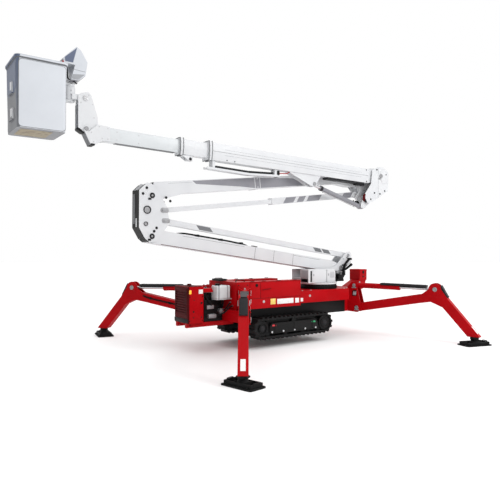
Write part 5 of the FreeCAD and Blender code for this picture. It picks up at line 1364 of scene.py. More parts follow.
@dataclass
class Turret:
    """Slew ring bolts, cabinet doors, the tower's pins, valves and hoses."""

    slew: tuple[float, float] = (-0.96, 0.0)
    base_top: float = 0.9923
    cabinet: tuple[float, float] = (-1.19, -0.516)
    half: float = 0.232
    top: float = 1.243
    plate_near: float = 0.012
    plate_far: float = -0.222

    def build(self) -> None:
        """Builds the turret's trim."""
        self.ring()
        self.cabinets()
        self.tower()
        self.valves()

    def ring(self) -> None:
        """Adds the bolts round the base and the gear teeth below it."""
        bolts = Work("slew_bolts")
        for i in range(32):
            turn = 2 * math.pi * i / 32
            place = Vector((self.slew[0] + 0.335 * math.cos(turn), self.slew[1] + 0.335 * math.sin(turn),
                            self.base_top))
            if abs(place.y) > self.half + 0.02 or place.x < self.cabinet[0] - 0.03:
                bolts.bolt(place, Z, 0.011)
        bolts.become(Finish.ZINC, "turret")
        teeth = Work("slew_teeth")
        for i in range(72):
            turn = 2 * math.pi * i / 72
            out = Vector((math.cos(turn), math.sin(turn), 0.0))
            side = Z.cross(out)
            foot = Vector((self.slew[0], self.slew[1], 0.892)) + out * 0.344
            teeth.plate([foot - side * 0.01, foot + side * 0.01, foot + side * 0.005 + out * 0.012,
                         foot - side * 0.005 + out * 0.012], Z * 0.04, 0.0)
        teeth.become(Finish.BLACK, "chassis")

    def cabinets(self) -> None:
        """Adds doors, vents and latches on both cabinets, and grey plates of painted shade on their front faces.
        """
        for side in (1, -1):
            y = side * self.half
            out = Y * side
            name = side_name(side)
            skin = Work("cabinet_doors_" + name)
            for x0, x1 in ((-1.18, -0.97), (-0.958, -0.615)):
                skin.box((x0, y, 1.005), (x1, y + side * 0.005, self.top - 0.014), 0.003)
            skin.become(Finish.WHITE, "turret")
            dark = Work("cabinet_slots_" + name)
            dark.box((-0.6, y, 1.015), (-0.565, y + side * 0.003, 1.215), 0.001)
            dark.box((-0.966, y, 1.0), (-0.962, y + side * 0.002, self.top - 0.01), 0.0)
            dark.become(Finish.BLACK, "turret")
            vents = Work("cabinet_vents_" + name)
            for i in range(7):
                x = -1.15 + i * 0.016
                vents.box((x, y, 1.08), (x + 0.006, y + side * 0.0065, 1.19), 0.001)
            vents.box((-1.02, y, 1.12), (-1.0, y + side * 0.009, 1.16), 0.003)
            vents.box((-0.65, y, 1.12), (-0.63, y + side * 0.009, 1.16), 0.003)
            vents.become(Finish.GREY, "turret")
            bolts = [(x, y + side * 0.005, z) for x in (-1.165, -0.985, -0.943, -0.63)
                     for z in (1.02, 1.215)]
            Work("cabinet_screws_" + name).bolts(bolts, out, 0.005).become(Finish.ZINC, "turret")
        x = self.cabinet[1]
        # Painted shade: grey plates on the cabinets' front faces, which look ahead of the machine.
        front = Work("cabinet_front_shade")
        front.box((x - 0.001, 0.035, 1.01), (x + 0.005, 0.222, self.top - 0.02), 0.003)
        front.box((x - 0.001, -0.222, 1.01), (x + 0.005, 0.222, 1.075), 0.003)
        front.become(Finish.GREY, "turret")

    def tower(self) -> None:
        """Adds pin caps with keepers on the tower's plates, and bolts along their foot."""
        caps = Work("tower_pins")
        for joint, radius in (("arm_lift", 0.05), ("lower_link_pivot", 0.033)):
            place = pin(joint)
            pin_caps(caps, place, radius, self.plate_near + 0.006, self.plate_far - 0.006)
        caps.become(Finish.CAST, "turret")
        bolts = Work("tower_bolts")
        for x, z in ((-1.3, 1.05), (-1.36, 1.13), (-1.25, 1.2), (-1.62, 1.42), (-1.72, 1.35)):
            bolts.bolt((x, self.plate_near, z), Y, 0.009)
            bolts.bolt((x, self.plate_far, z), -Y, 0.009)
        bolts.become(Finish.GREY, "turret")

    def valves(self) -> None:
        """Adds the valve bank behind the cabinet and the hoses that climb the tower."""
        bank = Work("valve_bank")
        bank.box((-1.48, 0.012, 1.0), (-1.34, 0.165, 1.045), 0.004)
        for i in range(5):
            y = 0.014 + i * 0.03
            bank.box((-1.475, y, 1.04), (-1.345, y + 0.024, 1.125), 0.004)
            bank.rod((-1.38, y + 0.012, 1.12), (-1.38, y + 0.012, 1.15), 0.01, 0.002, 14)
        bank.box((-1.36, 0.012, 1.02), (-1.24, 0.09, 1.2), 0.006)
        bank.box((-1.62, 0.012, 1.1), (-1.5, 0.075, 1.19), 0.008)
        bank.become(Finish.BLACK, "turret")
        levers = Work("valve_levers")
        for i in range(5):
            y = 0.026 + i * 0.03
            levers.rod((-1.43, y, 1.123), (-1.44, y, 1.175), 0.0035, 0.0, 10)
            levers.lathe([(0.0, -0.008), (0.007, -0.005), (0.009, 0.0), (0.007, 0.006), (0.0, 0.009)],
                         (-1.4415, y, 1.182), Z, 16)
        levers.bolts([(-1.56, 0.075, 1.125), (-1.56, 0.075, 1.165), (-1.3, 0.09, 1.05)], Y, 0.009)
        levers.become(Finish.ZINC, "turret")
        tube = Work("tower_tube")
        tube.hose([(-1.5, 0.05, 1.16), (-1.58, 0.05, 1.2), (-1.68, 0.045, 1.235), (-1.8, 0.04, 1.3)], 0.022,
                  16)
        tube.rod((-1.79, 0.0405, 1.294), (-1.825, 0.039, 1.314), 0.027, 0.004, 20)
        tube.become(Finish.HOSE, "turret")
        hoses = Work("tower_hoses")
        for i in range(4):
            y = 0.045 + i * 0.017
            hoses.hose([(-1.475, y + 0.015 * i, 1.07), (-1.52, y + 0.01 * i, 1.09), (-1.56, y, 1.18),
                        (-1.6, y, 1.3), (-1.68, y, 1.38), (-1.75, y - 0.01, 1.42)], 0.009)
        hoses.hose([(-1.345, 0.12, 1.02), (-1.3, 0.17, 1.02), (-1.24, 0.21, 1.01), (-1.2, 0.22, 1.04)],
                   0.012)
        hoses.hose([(-1.345, 0.15, 1.03), (-1.3, 0.2, 1.04), (-1.25, 0.24, 1.02), (-1.19, 0.228, 1.08)],
                   0.01)
        hoses.become(Finish.HOSE, "turret")
        clips = Work("tower_clips")
        clips.box((-1.62, 0.011, 1.29), (-1.585, 0.115, 1.315), 0.004)
        clips.box((-1.77, 0.011, 1.4), (-1.735, 0.1, 1.44), 0.004)
        clips.become(Finish.BLACK, "turret")


def pin_caps(work: Work, place: Vector, radius: float, near: float, far: float) -> None:
    """Adds a turned cap and a keeper plate on both ends of a pin that lies along Y.

    Args:
        work: the mesh in the making.
        place: a point on the pin.
        radius: the cap's radius.
        near: the near end's face.
        far: the far end's face.
    """
    for side, y in ((1, near), (-1, far)):
        centre = Vector((place.x, y, place.z))
        work.lathe([(0.0, 0.003), (radius * 0.42, 0.003), (radius * 0.5, 0.007), (radius * 0.92, 0.006),
                    (radius, 0.0), (0.0, 0.0)], centre, Y * side, 36)
        keeper = y - side * 0.0055
        low = (place.x + radius * 0.35, min(keeper, keeper + side * 0.006), place.z - radius * 1.55)
        high = (place.x + radius * 1.5, max(keeper, keeper + side * 0.006), place.z - radius * 0.85)
        work.box(low, high, 0.002)
        work.bolt((place.x + radius * 1.25, keeper + side * 0.006, place.z - radius * 1.2), Y * side, 0.007,
                  False)


@dataclass
class Pantograph:
    """Trim on the two arms, their links and the knuckle."""

    near: float = 0.1
    arm_above: float = 0.114
    arm_below: float = 0.104

    def build(self) -> None:
        """Builds the trim of every link."""
        self.lower_arm()
        self.lower_link()
        self.upper_arm()
        self.upper_link()
        self.knuckle()

    def lower_arm(self) -> None:
        """Adds panel seams, edge strip, sockets and hoses on the lower arm."""
        base = between(pin("arm_lift"), pin("knuckle_pivot"))
        seams = Work("lower_arm_seams", base)
        for side in (1, -1):
            y = sorted((side * self.near, side * (self.near + 0.001)))
            for x in (1.21, 1.655, 2.07):
                seams.box((x - 0.003, y[0], -self.arm_below + 0.006),
                          (x + 0.003, y[1], self.arm_above - 0.006), 0.0)
            seams.box((2.3, y[0], 0.083), (3.5, y[1], 0.087), 0.0)
            seams.box((0.55, y[0], 0.083), (1.2, y[1], 0.087), 0.0)
        seams.become(Finish.SHADE, "lower_arm")
        strip = Work("lower_arm_edge", base)
        for side in (1, -1):
            y = sorted((side * (self.near - 0.001), side * (self.near + 0.003)))
            strip.box((0.6, y[0], -self.arm_below), (3.85, y[1], -self.arm_below + 0.009), 0.001)
        strip.become(Finish.DARK_RED, "lower_arm")
        screws = Work("lower_arm_screws", base)
        for side in (1, -1):
            face = side * self.near
            screws.bolts([(x, face, z) for x in (1.25, 1.62, 1.69, 2.035) for z in (-0.08, 0.09)], Y * side,
                         0.005)
            screws.bolt((2.12, face, -0.09), Y * side, 0.01)
        screws.become(Finish.ZINC, "lower_arm")
        hoses = Work("lower_arm_hoses", base)
        for i in range(3):
            y = 0.055 - i * 0.028
            hoses.hose([(2.2, y, 0.105), (2.3, y, 0.128), (2.6, y, 0.14), (3.1, y, 0.14), (3.45, y, 0.136),
                        (3.6, y, 0.105)], 0.011)
        hoses.become(Finish.HOSE, "lower_arm")
        clips = Work("lower_arm_clips", base)
        for x in (2.34, 2.75, 3.2):
            clips.box((x - 0.02, -0.02, self.arm_above - 0.002), (x + 0.02, 0.076, self.arm_above + 0.042),
                      0.006)
        clips.box((2.02, 0.03, self.arm_above - 0.002), (2.12, 0.085, self.arm_above + 0.018), 0.006)
        clips.become(Finish.GUARD, "lower_arm")

    def lower_link(self) -> None:
        """Adds patches of painted shadow, collars and pin plates on the lower link."""
        start = pin("lower_link_pivot")
        parallel = pin("knuckle_pivot") - pin("arm_lift")
        base = between(start, start + parallel)
        length = parallel.length
        # Painted shadow: grey parallelograms on both faces of the link.
        stripe = Work("lower_link_shadow_patches", base)
        for side in (1, -1):
            y = side * 0.06
            for x0, x1 in ((0.42, 0.6), (0.64, 0.82), (3.1, 3.36)):
                stripe.profile([(x0, -0.034), (x1, -0.034), (x1 + 0.07, 0.034), (x0 + 0.07, 0.034)], y,
                               side * 0.0012, 0.0)
        stripe.become(Finish.SHADE, "lower_link")
        collar = Work("lower_link_collar", base)
        for x in (1.78, 1.83):
            collar.box((x, -0.0615, -0.0475), (x + 0.022, 0.0615, 0.0475), 0.003)
        collar.become(Finish.WHITE, "lower_link")
        caps = Work("lower_link_plates", base)
        for side in (1, -1):
            face = side * 0.06
            caps.lathe([(0.024, 0.0), (0.047, 0.0), (0.047, 0.003), (0.024, 0.003)], (length, face, 0),
                       Y * side, 32, closed=True)
        caps.become(Finish.GREY, "lower_link")

    def upper_arm(self) -> None:
        """Adds the grey stripe, seams and underside bolts on the upper arm."""
        base = between(pin("upper_arm_pivot"), pin("head_pivot"), -Y)
        stripe = Work("upper_arm_stripe", base)
        outline = ((0.73, 0.192), (1.99, 0.192), (2.86, 0.15), (3.06, 0.01), (1.99, 0.012), (1.62, 0.06),
                   (0.79, 0.14))
        for side in (1, -1):
            stripe.profile(outline, side * self.near, side * 0.0012, 0.0)
        stripe.become(Finish.STRIPE, "upper_arm")
        seams = Work("upper_arm_seams", base)
        for side in (1, -1):
            y = sorted((side * self.near, side * (self.near + 0.0018)))
            for x in (1.96, 2.06):
                seams.box((x - 0.002, y[0], 0.006), (x + 0.002, y[1], 0.198), 0.0)
            seams.box((0.3, y[0], 0.168), (0.72, y[1], 0.171), 0.0)
            seams.box((3.1, y[0], 0.168), (4.2, y[1], 0.171), 0.0)
        seams.become(Finish.GREY, "upper_arm")
        clamp = Work("upper_arm_clamp", base)
        clamp.box((1.95, -0.103, -0.008), (2.07, 0.103, 0.0), 0.002)
        clamp.box((1.95, -0.103, 0.204), (2.07, 0.103, 0.21), 0.002)
        for side in (1, -1):
            clamp.box((1.95, side * 0.1015 - 0.0015, -0.006), (1.962, side * 0.1015 + 0.0015, 0.208), 0.001)
            clamp.box((2.058, side * 0.1015 - 0.0015, -0.006), (2.07, side * 0.1015 + 0.0015, 0.208), 0.001)
            clamp.bolts([(2.01, side * 0.1, z) for z in (0.03, 0.175)], Y * side, 0.008)
        clamp.become(Finish.WHITE, "upper_arm")

    def upper_link(self) -> None:
        """Adds the collar's rings and patches of painted shadow on the upper link."""
        start = pin("upper_link_pivot")
        base = between(start, start + (pin("head_pivot") - pin("upper_arm_pivot")), -Y)
        collar = Work("upper_link_collar", base)
        for x in (2.26, 2.325, 2.39):
            collar.box((x, -0.0605, -0.0585), (x + 0.02, 0.0605, 0.0585), 0.003)
        collar.become(Finish.WHITE, "upper_link")
        # Painted shadow: grey parallelograms on both faces, with bright gaps between them.
        stripe = Work("upper_link_shadow_patches", base)
        for side in (1, -1):
            y = side * 0.06
            for x0, x1 in ((2.42, 2.66), (2.74, 2.9), (2.98, 3.3), (3.9, 4.15)):
                stripe.profile([(x0, -0.05), (x1, -0.05), (x1 + 0.08, 0.05), (x0 + 0.08, 0.05)], y,
                               side * 0.0012, 0.0)
        stripe.become(Finish.STRIPE, "upper_link")

    def knuckle(self) -> None:
        """Adds pins, bolts, the big ring with painted shade in its hollows, the dark bumper, and a strip of
        painted shade on the knuckle's front face.
        """
        near, far = 0.012, -0.222
        arm, upper = pin("knuckle_pivot"), pin("upper_arm_pivot")
        low_link = pin("lower_link_pivot") + (arm - pin("arm_lift"))
        high_link = pin("upper_link_pivot")
        caps = Work("knuckle_pins")
        for place, radius in ((arm, 0.044), (upper, 0.044)):
            pin_caps(caps, place, radius, near + 0.006, far - 0.006)
        caps.become(Finish.GUARD, "knuckle")
        centres = Work("knuckle_pin_centres")
        for place in (arm, upper):
            for side, y in ((1, near + 0.0085), (-1, far - 0.0085)):
                centres.lathe([(0.0, 0.004), (0.014, 0.004), (0.017, 0.0), (0.0, 0.0)],
                              (place.x, y, place.z), Y * side, 24)
        centres.become(Finish.CAST, "knuckle")
        ovals = Work("knuckle_link_plates")
        for place in (low_link, high_link):
            for side, y in ((1, near + 0.0055), (-1, far - 0.0055)):
                outline = rounded([(place.x - 0.095, place.z - 0.037), (place.x + 0.04, place.z - 0.039),
                                   (place.x + 0.04, place.z + 0.039), (place.x - 0.095, place.z + 0.037)],
                                  0.036, 6)
                ovals.profile(outline, y - side * 0.007, side * 0.008, 0.002)
                ovals.bolt((place.x, y, place.z), Y * side, 0.014)
                ovals.bolt((place.x - 0.068, y, place.z), Y * side, 0.008)
        ovals.become(Finish.CAST, "knuckle")
        ring = Work("knuckle_ring")
        for x, z, radius in ((2.513, 2.2, 0.062), (2.536, 1.988, 0.034)):
            for side, y in ((1, near), (-1, far)):
                ring.lathe([(radius * 0.76, 0.0), (radius, 0.0), (radius, 0.008), (radius * 0.94, 0.013),
                            (radius * 0.82, 0.013), (radius * 0.76, 0.008)], (x, y, z), Y * side, 40,
                           closed=True)
        ring.become(Finish.GUARD, "knuckle")
        # Painted shade: grey discs fill the ring's hollows.
        hole = Work("knuckle_ring_hollow_shade")
        for side, y in ((1, near), (-1, far)):
            hole.lathe([(0.0, 0.002), (0.047, 0.002), (0.047, 0.0), (0.0, 0.0)], (2.513, y, 2.2), Y * side,
                       40)
            hole.lathe([(0.0, 0.002), (0.026, 0.002), (0.026, 0.0), (0.0, 0.0)], (2.536, y, 1.988),
                       Y * side, 32)
            hole.lathe([(0.018, 0.002), (0.024, 0.002), (0.024, 0.006), (0.018, 0.006)], (2.505, y, 2.192),
                       Y * side, 32, closed=True)
        hole.become(Finish.CAST, "knuckle")
        bolts = Work("knuckle_bolts")
        for x, z in ((2.58, 2.44), (2.36, 1.93), (2.2, 2.4), (2.13, 2.35), (2.4, 1.88), (2.52, 2.53)):
            bolts.bolt((x, near, z), Y, 0.016)
            bolts.bolt((x, far, z), -Y, 0.016)
        bolts.become(Finish.GUARD, "knuckle")
        bumper = Work("knuckle_bumper")
        edge = [(2.546, 2.587), (2.576, 2.563), (2.649, 2.491), (2.653, 1.931), (2.56, 1.77), (2.49, 1.712)]
        whole = [(far - 0.001, near + 0.001)]
        split = [(far - 0.001, far + 0.013), (near - 0.013, near + 0.001)]
        for (a, b), strips in zip(zip(edge, edge[1:]), (split, split, whole, whole, split)):
            along = Vector((b[0] - a[0], 0, b[1] - a[1]))
            inward = Vector((along.z, 0, -along.x)).normalized()
            for low, high in strips:
                corners = [Vector((end[0], low, end[1])) - inward * 0.001 for end in (a, b)]
                corners += [corners[1] + inward * 0.007, corners[0] + inward * 0.007]
                bumper.plate(corners, Y * (high - low), 0.0)
        bumper.become(Finish.BLACK, "knuckle")
        # Painted shade: a grey strip on the knuckle's front face, which looks ahead of the machine.
        strip = Work("knuckle_strip")
        strip.box((2.651, -0.2, 1.99), (2.6555, -0.12, 2.44), 0.002)
        strip.become(Finish.SHADE, "knuckle")
        slot = Work("knuckle_slot")
        slot.box((2.651, -0.09, 1.94), (2.6565, -0.05, 2.07), 0.002)
        slot.become(Finish.WHITE, "knuckle")


@dataclass
class Head:
    """The head's access panels, bolts, pins, seam, lever, valve and hoses."""

    near: float = 0.242
    middle: float = 0.002
    far: float = -0.222

    def build(self) -> None:
        """Builds the head's trim."""
        panel = Work("head_panels")
        root = pin("boom_luff")
        for y, side in ((self.near, 1), (self.far, -1)):
            outline = rounded([(root.x - 0.2, root.z - 0.14), (root.x - 0.01, root.z - 0.14),
                               (root.x + 0.02, root.z + 0.08), (root.x - 0.06, root.z + 0.12),
                               (root.x - 0.2, root.z + 0.06)], 0.035)
            panel.profile(outline, y, side * 0.005, 0.0015)
        panel.become(Finish.WHITE, "head")
        caps = Work("head_pins")
        pin_caps(caps, pin("boom_luff"), 0.046, self.near + 0.006, self.middle - 0.03)
        centre = pin("head_pivot")
        caps.lathe([(0.0, 0.004), (0.02, 0.004), (0.024, 0.007), (0.044, 0.006), (0.05, 0.0), (0.0, 0.0)],
                   (centre.x, self.far - 0.0055, centre.z), -Y, 32)
        caps.become(Finish.CAST, "head")
        bolts = Work("head_bolts")
        for x, z in ((-2.257, 2.73), (-2.562, 2.788), (-2.6, 3.12), (-2.33, 3.2), (-2.15, 2.6),
                     (-2.42, 2.72)):
            bolts.bolt((x, self.near, z), Y, 0.013)
            bolts.bolt((x, self.far, z), -Y, 0.013)
        bolts.become(Finish.GUARD, "head")
        seam = Work("head_seam")
        seam.box((-2.37, self.near, 2.64), (-2.366, self.near + 0.001, 3.23), 0.0)
        seam.become(Finish.SHADE, "head")
        lever = Work("luff_lever")
        lever.profile([(-1.99, 2.69), (-1.945, 2.7), (-1.9, 2.58), (-1.95, 2.54)], self.near, 0.02, 0.004)
        lever.become(Finish.DARK_RED, "head")
        valve = Work("luff_valve")
        valve.box((-2.11, 0.2, 2.53), (-2.03, 0.229, 2.6), 0.005)
        for z in (2.55, 2.58):
            valve.rod((-2.03, 0.215, z), (-2.005, 0.215, z), 0.008, 0.001, 6)
        valve.become(Finish.BLACK, "head")
        hoses = Work("head_hoses")
        for i in range(3):
            y = 0.04 + 0.02 * i
            hoses.hose([(-2.6, y, 2.95), (-2.56, y, 2.86), (-2.45, y, 2.8), (-2.3, y, 2.72),
                        (-2.2, y, 2.66)], 0.009)
        hoses.become(Finish.HOSE, "head")


@dataclass
class LuffRam:
    """Ports, gland and pipe of the luffing cylinder."""

    barrel: float = 1.12
    radius: float = 0.042

    def build(self) -> None:
        """Builds the cylinder's trim."""
        start = pin("luff_barrel_pivot")
        base = between(start, start + Vector(joint_of("luff_rod_slide")["axis"]))
        gland = Work("luff_gland", base)
        gland.lathe([(self.radius - 0.001, 0.0), (self.radius + 0.006, 0.002), (self.radius + 0.006, 0.05),
                     (self.radius - 0.001, 0.052)], (self.barrel - 0.054, 0, 0), X, 36, closed=True)
        gland.become(Finish.GUARD, "luff_barrel")
        pipe = Work("luff_pipe", base)
        pipe.rod((0.16, 0.0, -0.06), (0.16, 0.0, -0.038), 0.014, 0.002, 6)
        pipe.rod((1.03, 0.0, -0.06), (1.03, 0.0, -0.038), 0.014, 0.002, 6)
        pipe.hose([(0.16, 0.0, -0.056), (0.2, 0.0, -0.058), (0.5, 0.0, -0.056), (0.99, 0.0, -0.058),
                   (1.03, 0.0, -0.056)], 0.006)
        pipe.become(Finish.ZINC, "luff_barrel")
        base_valve = Work("luff_base_valve", base)
        base_valve.box((0.075, -0.03, 0.036), (0.15, 0.03, 0.075), 0.004)
        base_valve.rod((0.11, 0.0, 0.074), (0.11, 0.0, 0.09), 0.014, 0.002, 6)
        base_valve.become(Finish.BLACK, "luff_barrel")


@dataclass
class Boom:
    """Trim on the telescope: collars, wear pads, hose chain, tray and lugs."""

    tilt: float = 1.64
    axis_drop: float = 0.028
    outer: tuple[float, float] = (0.28, 0.196)
    mid: tuple[float, float] = (0.238, 0.16)
    inner: tuple[float, float] = (0.206, 0.13)
    outer_ends: tuple[float, float] = (0.33, 4.01)
    mid_front: float = 4.514
    inner_front: float = 5.722
    bulge: float = 0.017
    collar_proud: float = 0.009
    tray: tuple[tuple[float, float], ...] = ((2.551, -0.237), (3.19, -0.276), (4.016, -0.263))

    def build(self) -> None:
        """Builds the telescope's trim."""
        root = pin("boom_luff")
        turn = Matrix.Rotation(math.radians(-self.tilt), 4, "Y")
        self.base = Matrix.Translation(root) @ turn @ Matrix.Translation((0, 0, -self.axis_drop))
        self.collar("boom_collar_edge", self.outer, self.outer_ends[1], "boom")
        self.collar("mid_collar_edge", self.mid, self.mid_front, "boom_mid")
        self.sides()
        self.hose_chain()
        self.lugs()
        self.slide()

    def outline(self, size: tuple[float, float], grow: float) -> list[tuple[float, float]]:
        """Section points of a tube.

        Args:
            size: its height and width.
            grow: how far it is grown outward.

        Returns:
            (across, up) points.
        """
        height, width = size
        side = width / 2 + grow
        flat = width / 2 - self.bulge + grow
        top = height / 2 + grow
        return [(-flat, top), (flat, top), (side, 0), (flat, -top), (-flat, -top), (-side, 0)]

    def collar(self, name: str, size: tuple[float, float], front: float, body: str) -> None:
        """Adds the dark lipped edge at a section's mouth, with its pad screws.

        Args:
            name: the piece's name.
            size: the section's height and width.
            front: where the section ends.
            body: the body that carries it.
        """
        edge = Work(name, self.base)
        outside = self.outline(size, self.collar_proud + 0.007)
        inside = self.outline(size, self.collar_proud - 0.001)
        for x0, x1 in ((front - 0.012, front + 0.002), (front - 0.064, front - 0.056)):
            for i in range(6):
                j = (i + 1) % 6
                corners = [Vector((x0, *outside[i])), Vector((x0, *outside[j])), Vector((x0, *inside[j])),
                           Vector((x0, *inside[i]))]
                edge.plate(corners, X * (x1 - x0), 0.0)
        top = size[0] / 2 + self.collar_proud
        edge.box((front - 0.04, -0.03, top), (front - 0.005, 0.03, top + 0.014), 0.003)
        edge.box((front - 0.04, -0.03, -top - 0.02), (front - 0.005, 0.03, -top), 0.003)
        edge.become(Finish.SHADE, body)
        screws = Work(name + "_screws", self.base)
        flat = size[1] / 2 - self.bulge / 2 + self.collar_proud
        for side in (1, -1):
            for z in (-size[0] * 0.27, size[0] * 0.27):
                screws.bolt((front - 0.034, side * flat, z), Y * side, 0.008)
        screws.become(Finish.ZINC, body)

    def sides(self) -> None:
        """Adds the long seams and end bolts on the outer section, a strip of painted shade under the inner
        section, and the inner section's screws.
        """
        rear, front = self.outer_ends
        half = self.outer[1] / 2
        seams = Work("boom_seams", self.base)
        for side in (1, -1):
            seams.rod((rear + 0.02, side * (half - 0.0005), 0.0),
                      (front - 0.07, side * (half - 0.0005), 0.0), 0.0022, 0.0, 8)
            for z in (0.045, -0.045):
                y = side * (half - self.bulge * 0.32)
                seams.rod((rear + 0.2, y, z), (front - 0.3, y, z), 0.0012, 0.0, 6)
        seams.become(Finish.SHADE, "boom")
        bolts = Work("boom_end_bolts", self.base)
        for side in (1, -1):
            y = side * (half - self.bulge)
            bolts.bolts([(rear + 0.06, y + side * 0.002, 0.11), (rear + 0.05, y + side * 0.002, -0.11)],
                        Y * side, 0.01)
            bolts.bolts([(front - 0.35, y + side * 0.002, -0.118), (front - 0.5, y + side * 0.002, -0.118)],
                        Y * side, 0.008)
        bolts.become(Finish.GUARD, "boom")
        # Painted shade: a thin dark strip along the inner section's underside.
        rail = Work("inner_boom_underside_shade", self.base)
        low = self.inner[0] / 2
        rail.box((self.mid_front + 0.06, -0.049, -low - 0.003), (self.inner_front - 0.2, 0.049, -low),
                 0.001)
        rail.become(Finish.SHADE, "boom_inner")
        tip = Work("inner_boom_screws", self.base)
        inner_half = self.inner[1] / 2 - self.bulge * 0.45
        for side in (1, -1):
            for x in (self.inner_front - 0.22, self.inner_front - 0.55):
                tip.bolts([(x, side * inner_half, z) for z in (-0.055, 0.055)], Y * side, 0.006)
        tip.become(Finish.ZINC, "boom_inner")

    def hose_chain(self) -> None:
        """Adds the chain of hose links that lies in the tray, and the tray's trim."""
        links = Work("hose_chain", self.base)
        (x0, z0), (x1, z1), (x2, z2) = self.tray
        count = 30
        for i in range(count):
            x = x0 + 0.13 + (x2 - x0 - 0.3) * i / count
            z = z0 + (z1 - z0) * (x - x0) / (x1 - x0) if x < x1 else z1 + (z2 - z1) * (x - x1) / (x2 - x1)
            links.box((x, -0.038, z - 0.002), (x + 0.034, 0.038, z + 0.052), 0.005)
            links.rod((x + 0.017, -0.042, z + 0.025), (x + 0.017, 0.042, z + 0.025), 0.01, 0.0, 12)
        links.become(Finish.GUARD, "boom")
        lip = Work("tray_lips", self.base)
        for side in (1, -1):
            y = sorted((side * 0.055, side * 0.059))
            for (xa, za), (xb, zb) in zip(self.tray, self.tray[1:]):
                lip.profile([(xa, za - 0.024), (xb, zb - 0.024), (xb, zb + 0.012), (xa, za + 0.012)], y[0],
                            y[1] - y[0], 0.001)
        lip.become(Finish.WHITE, "boom")
        end = Work("tray_end", self.base)
        end.box((x0 - 0.004, -0.058, z0 - 0.026), (x0 + 0.06, 0.058, z0 + 0.085), 0.006)
        end.bolts([(x0 + 0.03, 0.058, z0 + 0.01), (x0 + 0.03, 0.058, z0 + 0.06)], Y, 0.008)
        end.become(Finish.BLACK, "boom")
        red = Work("tray_red_pipe", self.base)
        red.hose([(x0 - 0.002, 0.02, z0 + 0.04), (x0 - 0.08, 0.02, z0 + 0.05), (x0 - 0.18, 0.02, z0 + 0.06),
                  (x0 - 0.25, 0.02, z0 + 0.093)], 0.008)
        red.become(Finish.RED, "boom")

    def lugs(self) -> None:
        """Adds the caps of the pin on the luff cylinder's lugs, and a dark block of painted shadow under the
        boom's rear.
        """
        tip = self.base.inverted() @ Vector((-0.705, 0.124, 2.801))
        caps = Work("luff_tip_caps", self.base)
        for side in (1, -1):
            face = side * 0.068
            caps.lathe([(0.0, 0.003), (0.016, 0.003), (0.02, 0.007), (0.034, 0.006), (0.038, 0.0),
                        (0.0, 0.0)], (tip.x, face, tip.z), Y * side, 32)
        caps.become(Finish.CAST, "boom")
        # Painted shadow: a dark block under the boom's rear, where the upper arm lies in the boom's shadow.
        dark = Work("boom_rear_shadow_block", self.base)
        dark.box((0.42, -0.07, -0.176), (1.42, 0.07, -0.139), 0.008)
        dark.box((0.4, -0.045, -0.2), (0.62, 0.045, -0.17), 0.008)
        dark.become(Finish.GUARD, "boom")

    def slide(self) -> None:
        """Adds the hose arm's rollers and side plates on the middle section."""
        post = Work("slide_rollers", self.base)
        low = -self.mid[0] / 2
        post_x = 4.27
        for side in (1, -1):
            post.rod((post_x + 0.045, side * 0.05, low - 0.055),
                     (post_x + 0.045, side * 0.062, low - 0.055), 0.024, 0.003, 24)
            post.bolt((post_x + 0.045, side * 0.062, low - 0.055), Y * side, 0.008, False)
        post.become(Finish.GUARD, "boom_mid")
        arm = Work("slide_arm", self.base)
        for side in (1, -1):
            y = sorted((side * 0.051, side * 0.056))
            arm.profile([(post_x + 0.02, low - 0.08), (post_x + 0.075, low - 0.08),
                         (post_x + 0.2, low - 0.012), (post_x + 0.08, low - 0.006)], y[0], y[1] - y[0],
                        0.002)
        arm.become(Finish.WHITE, "boom_mid")


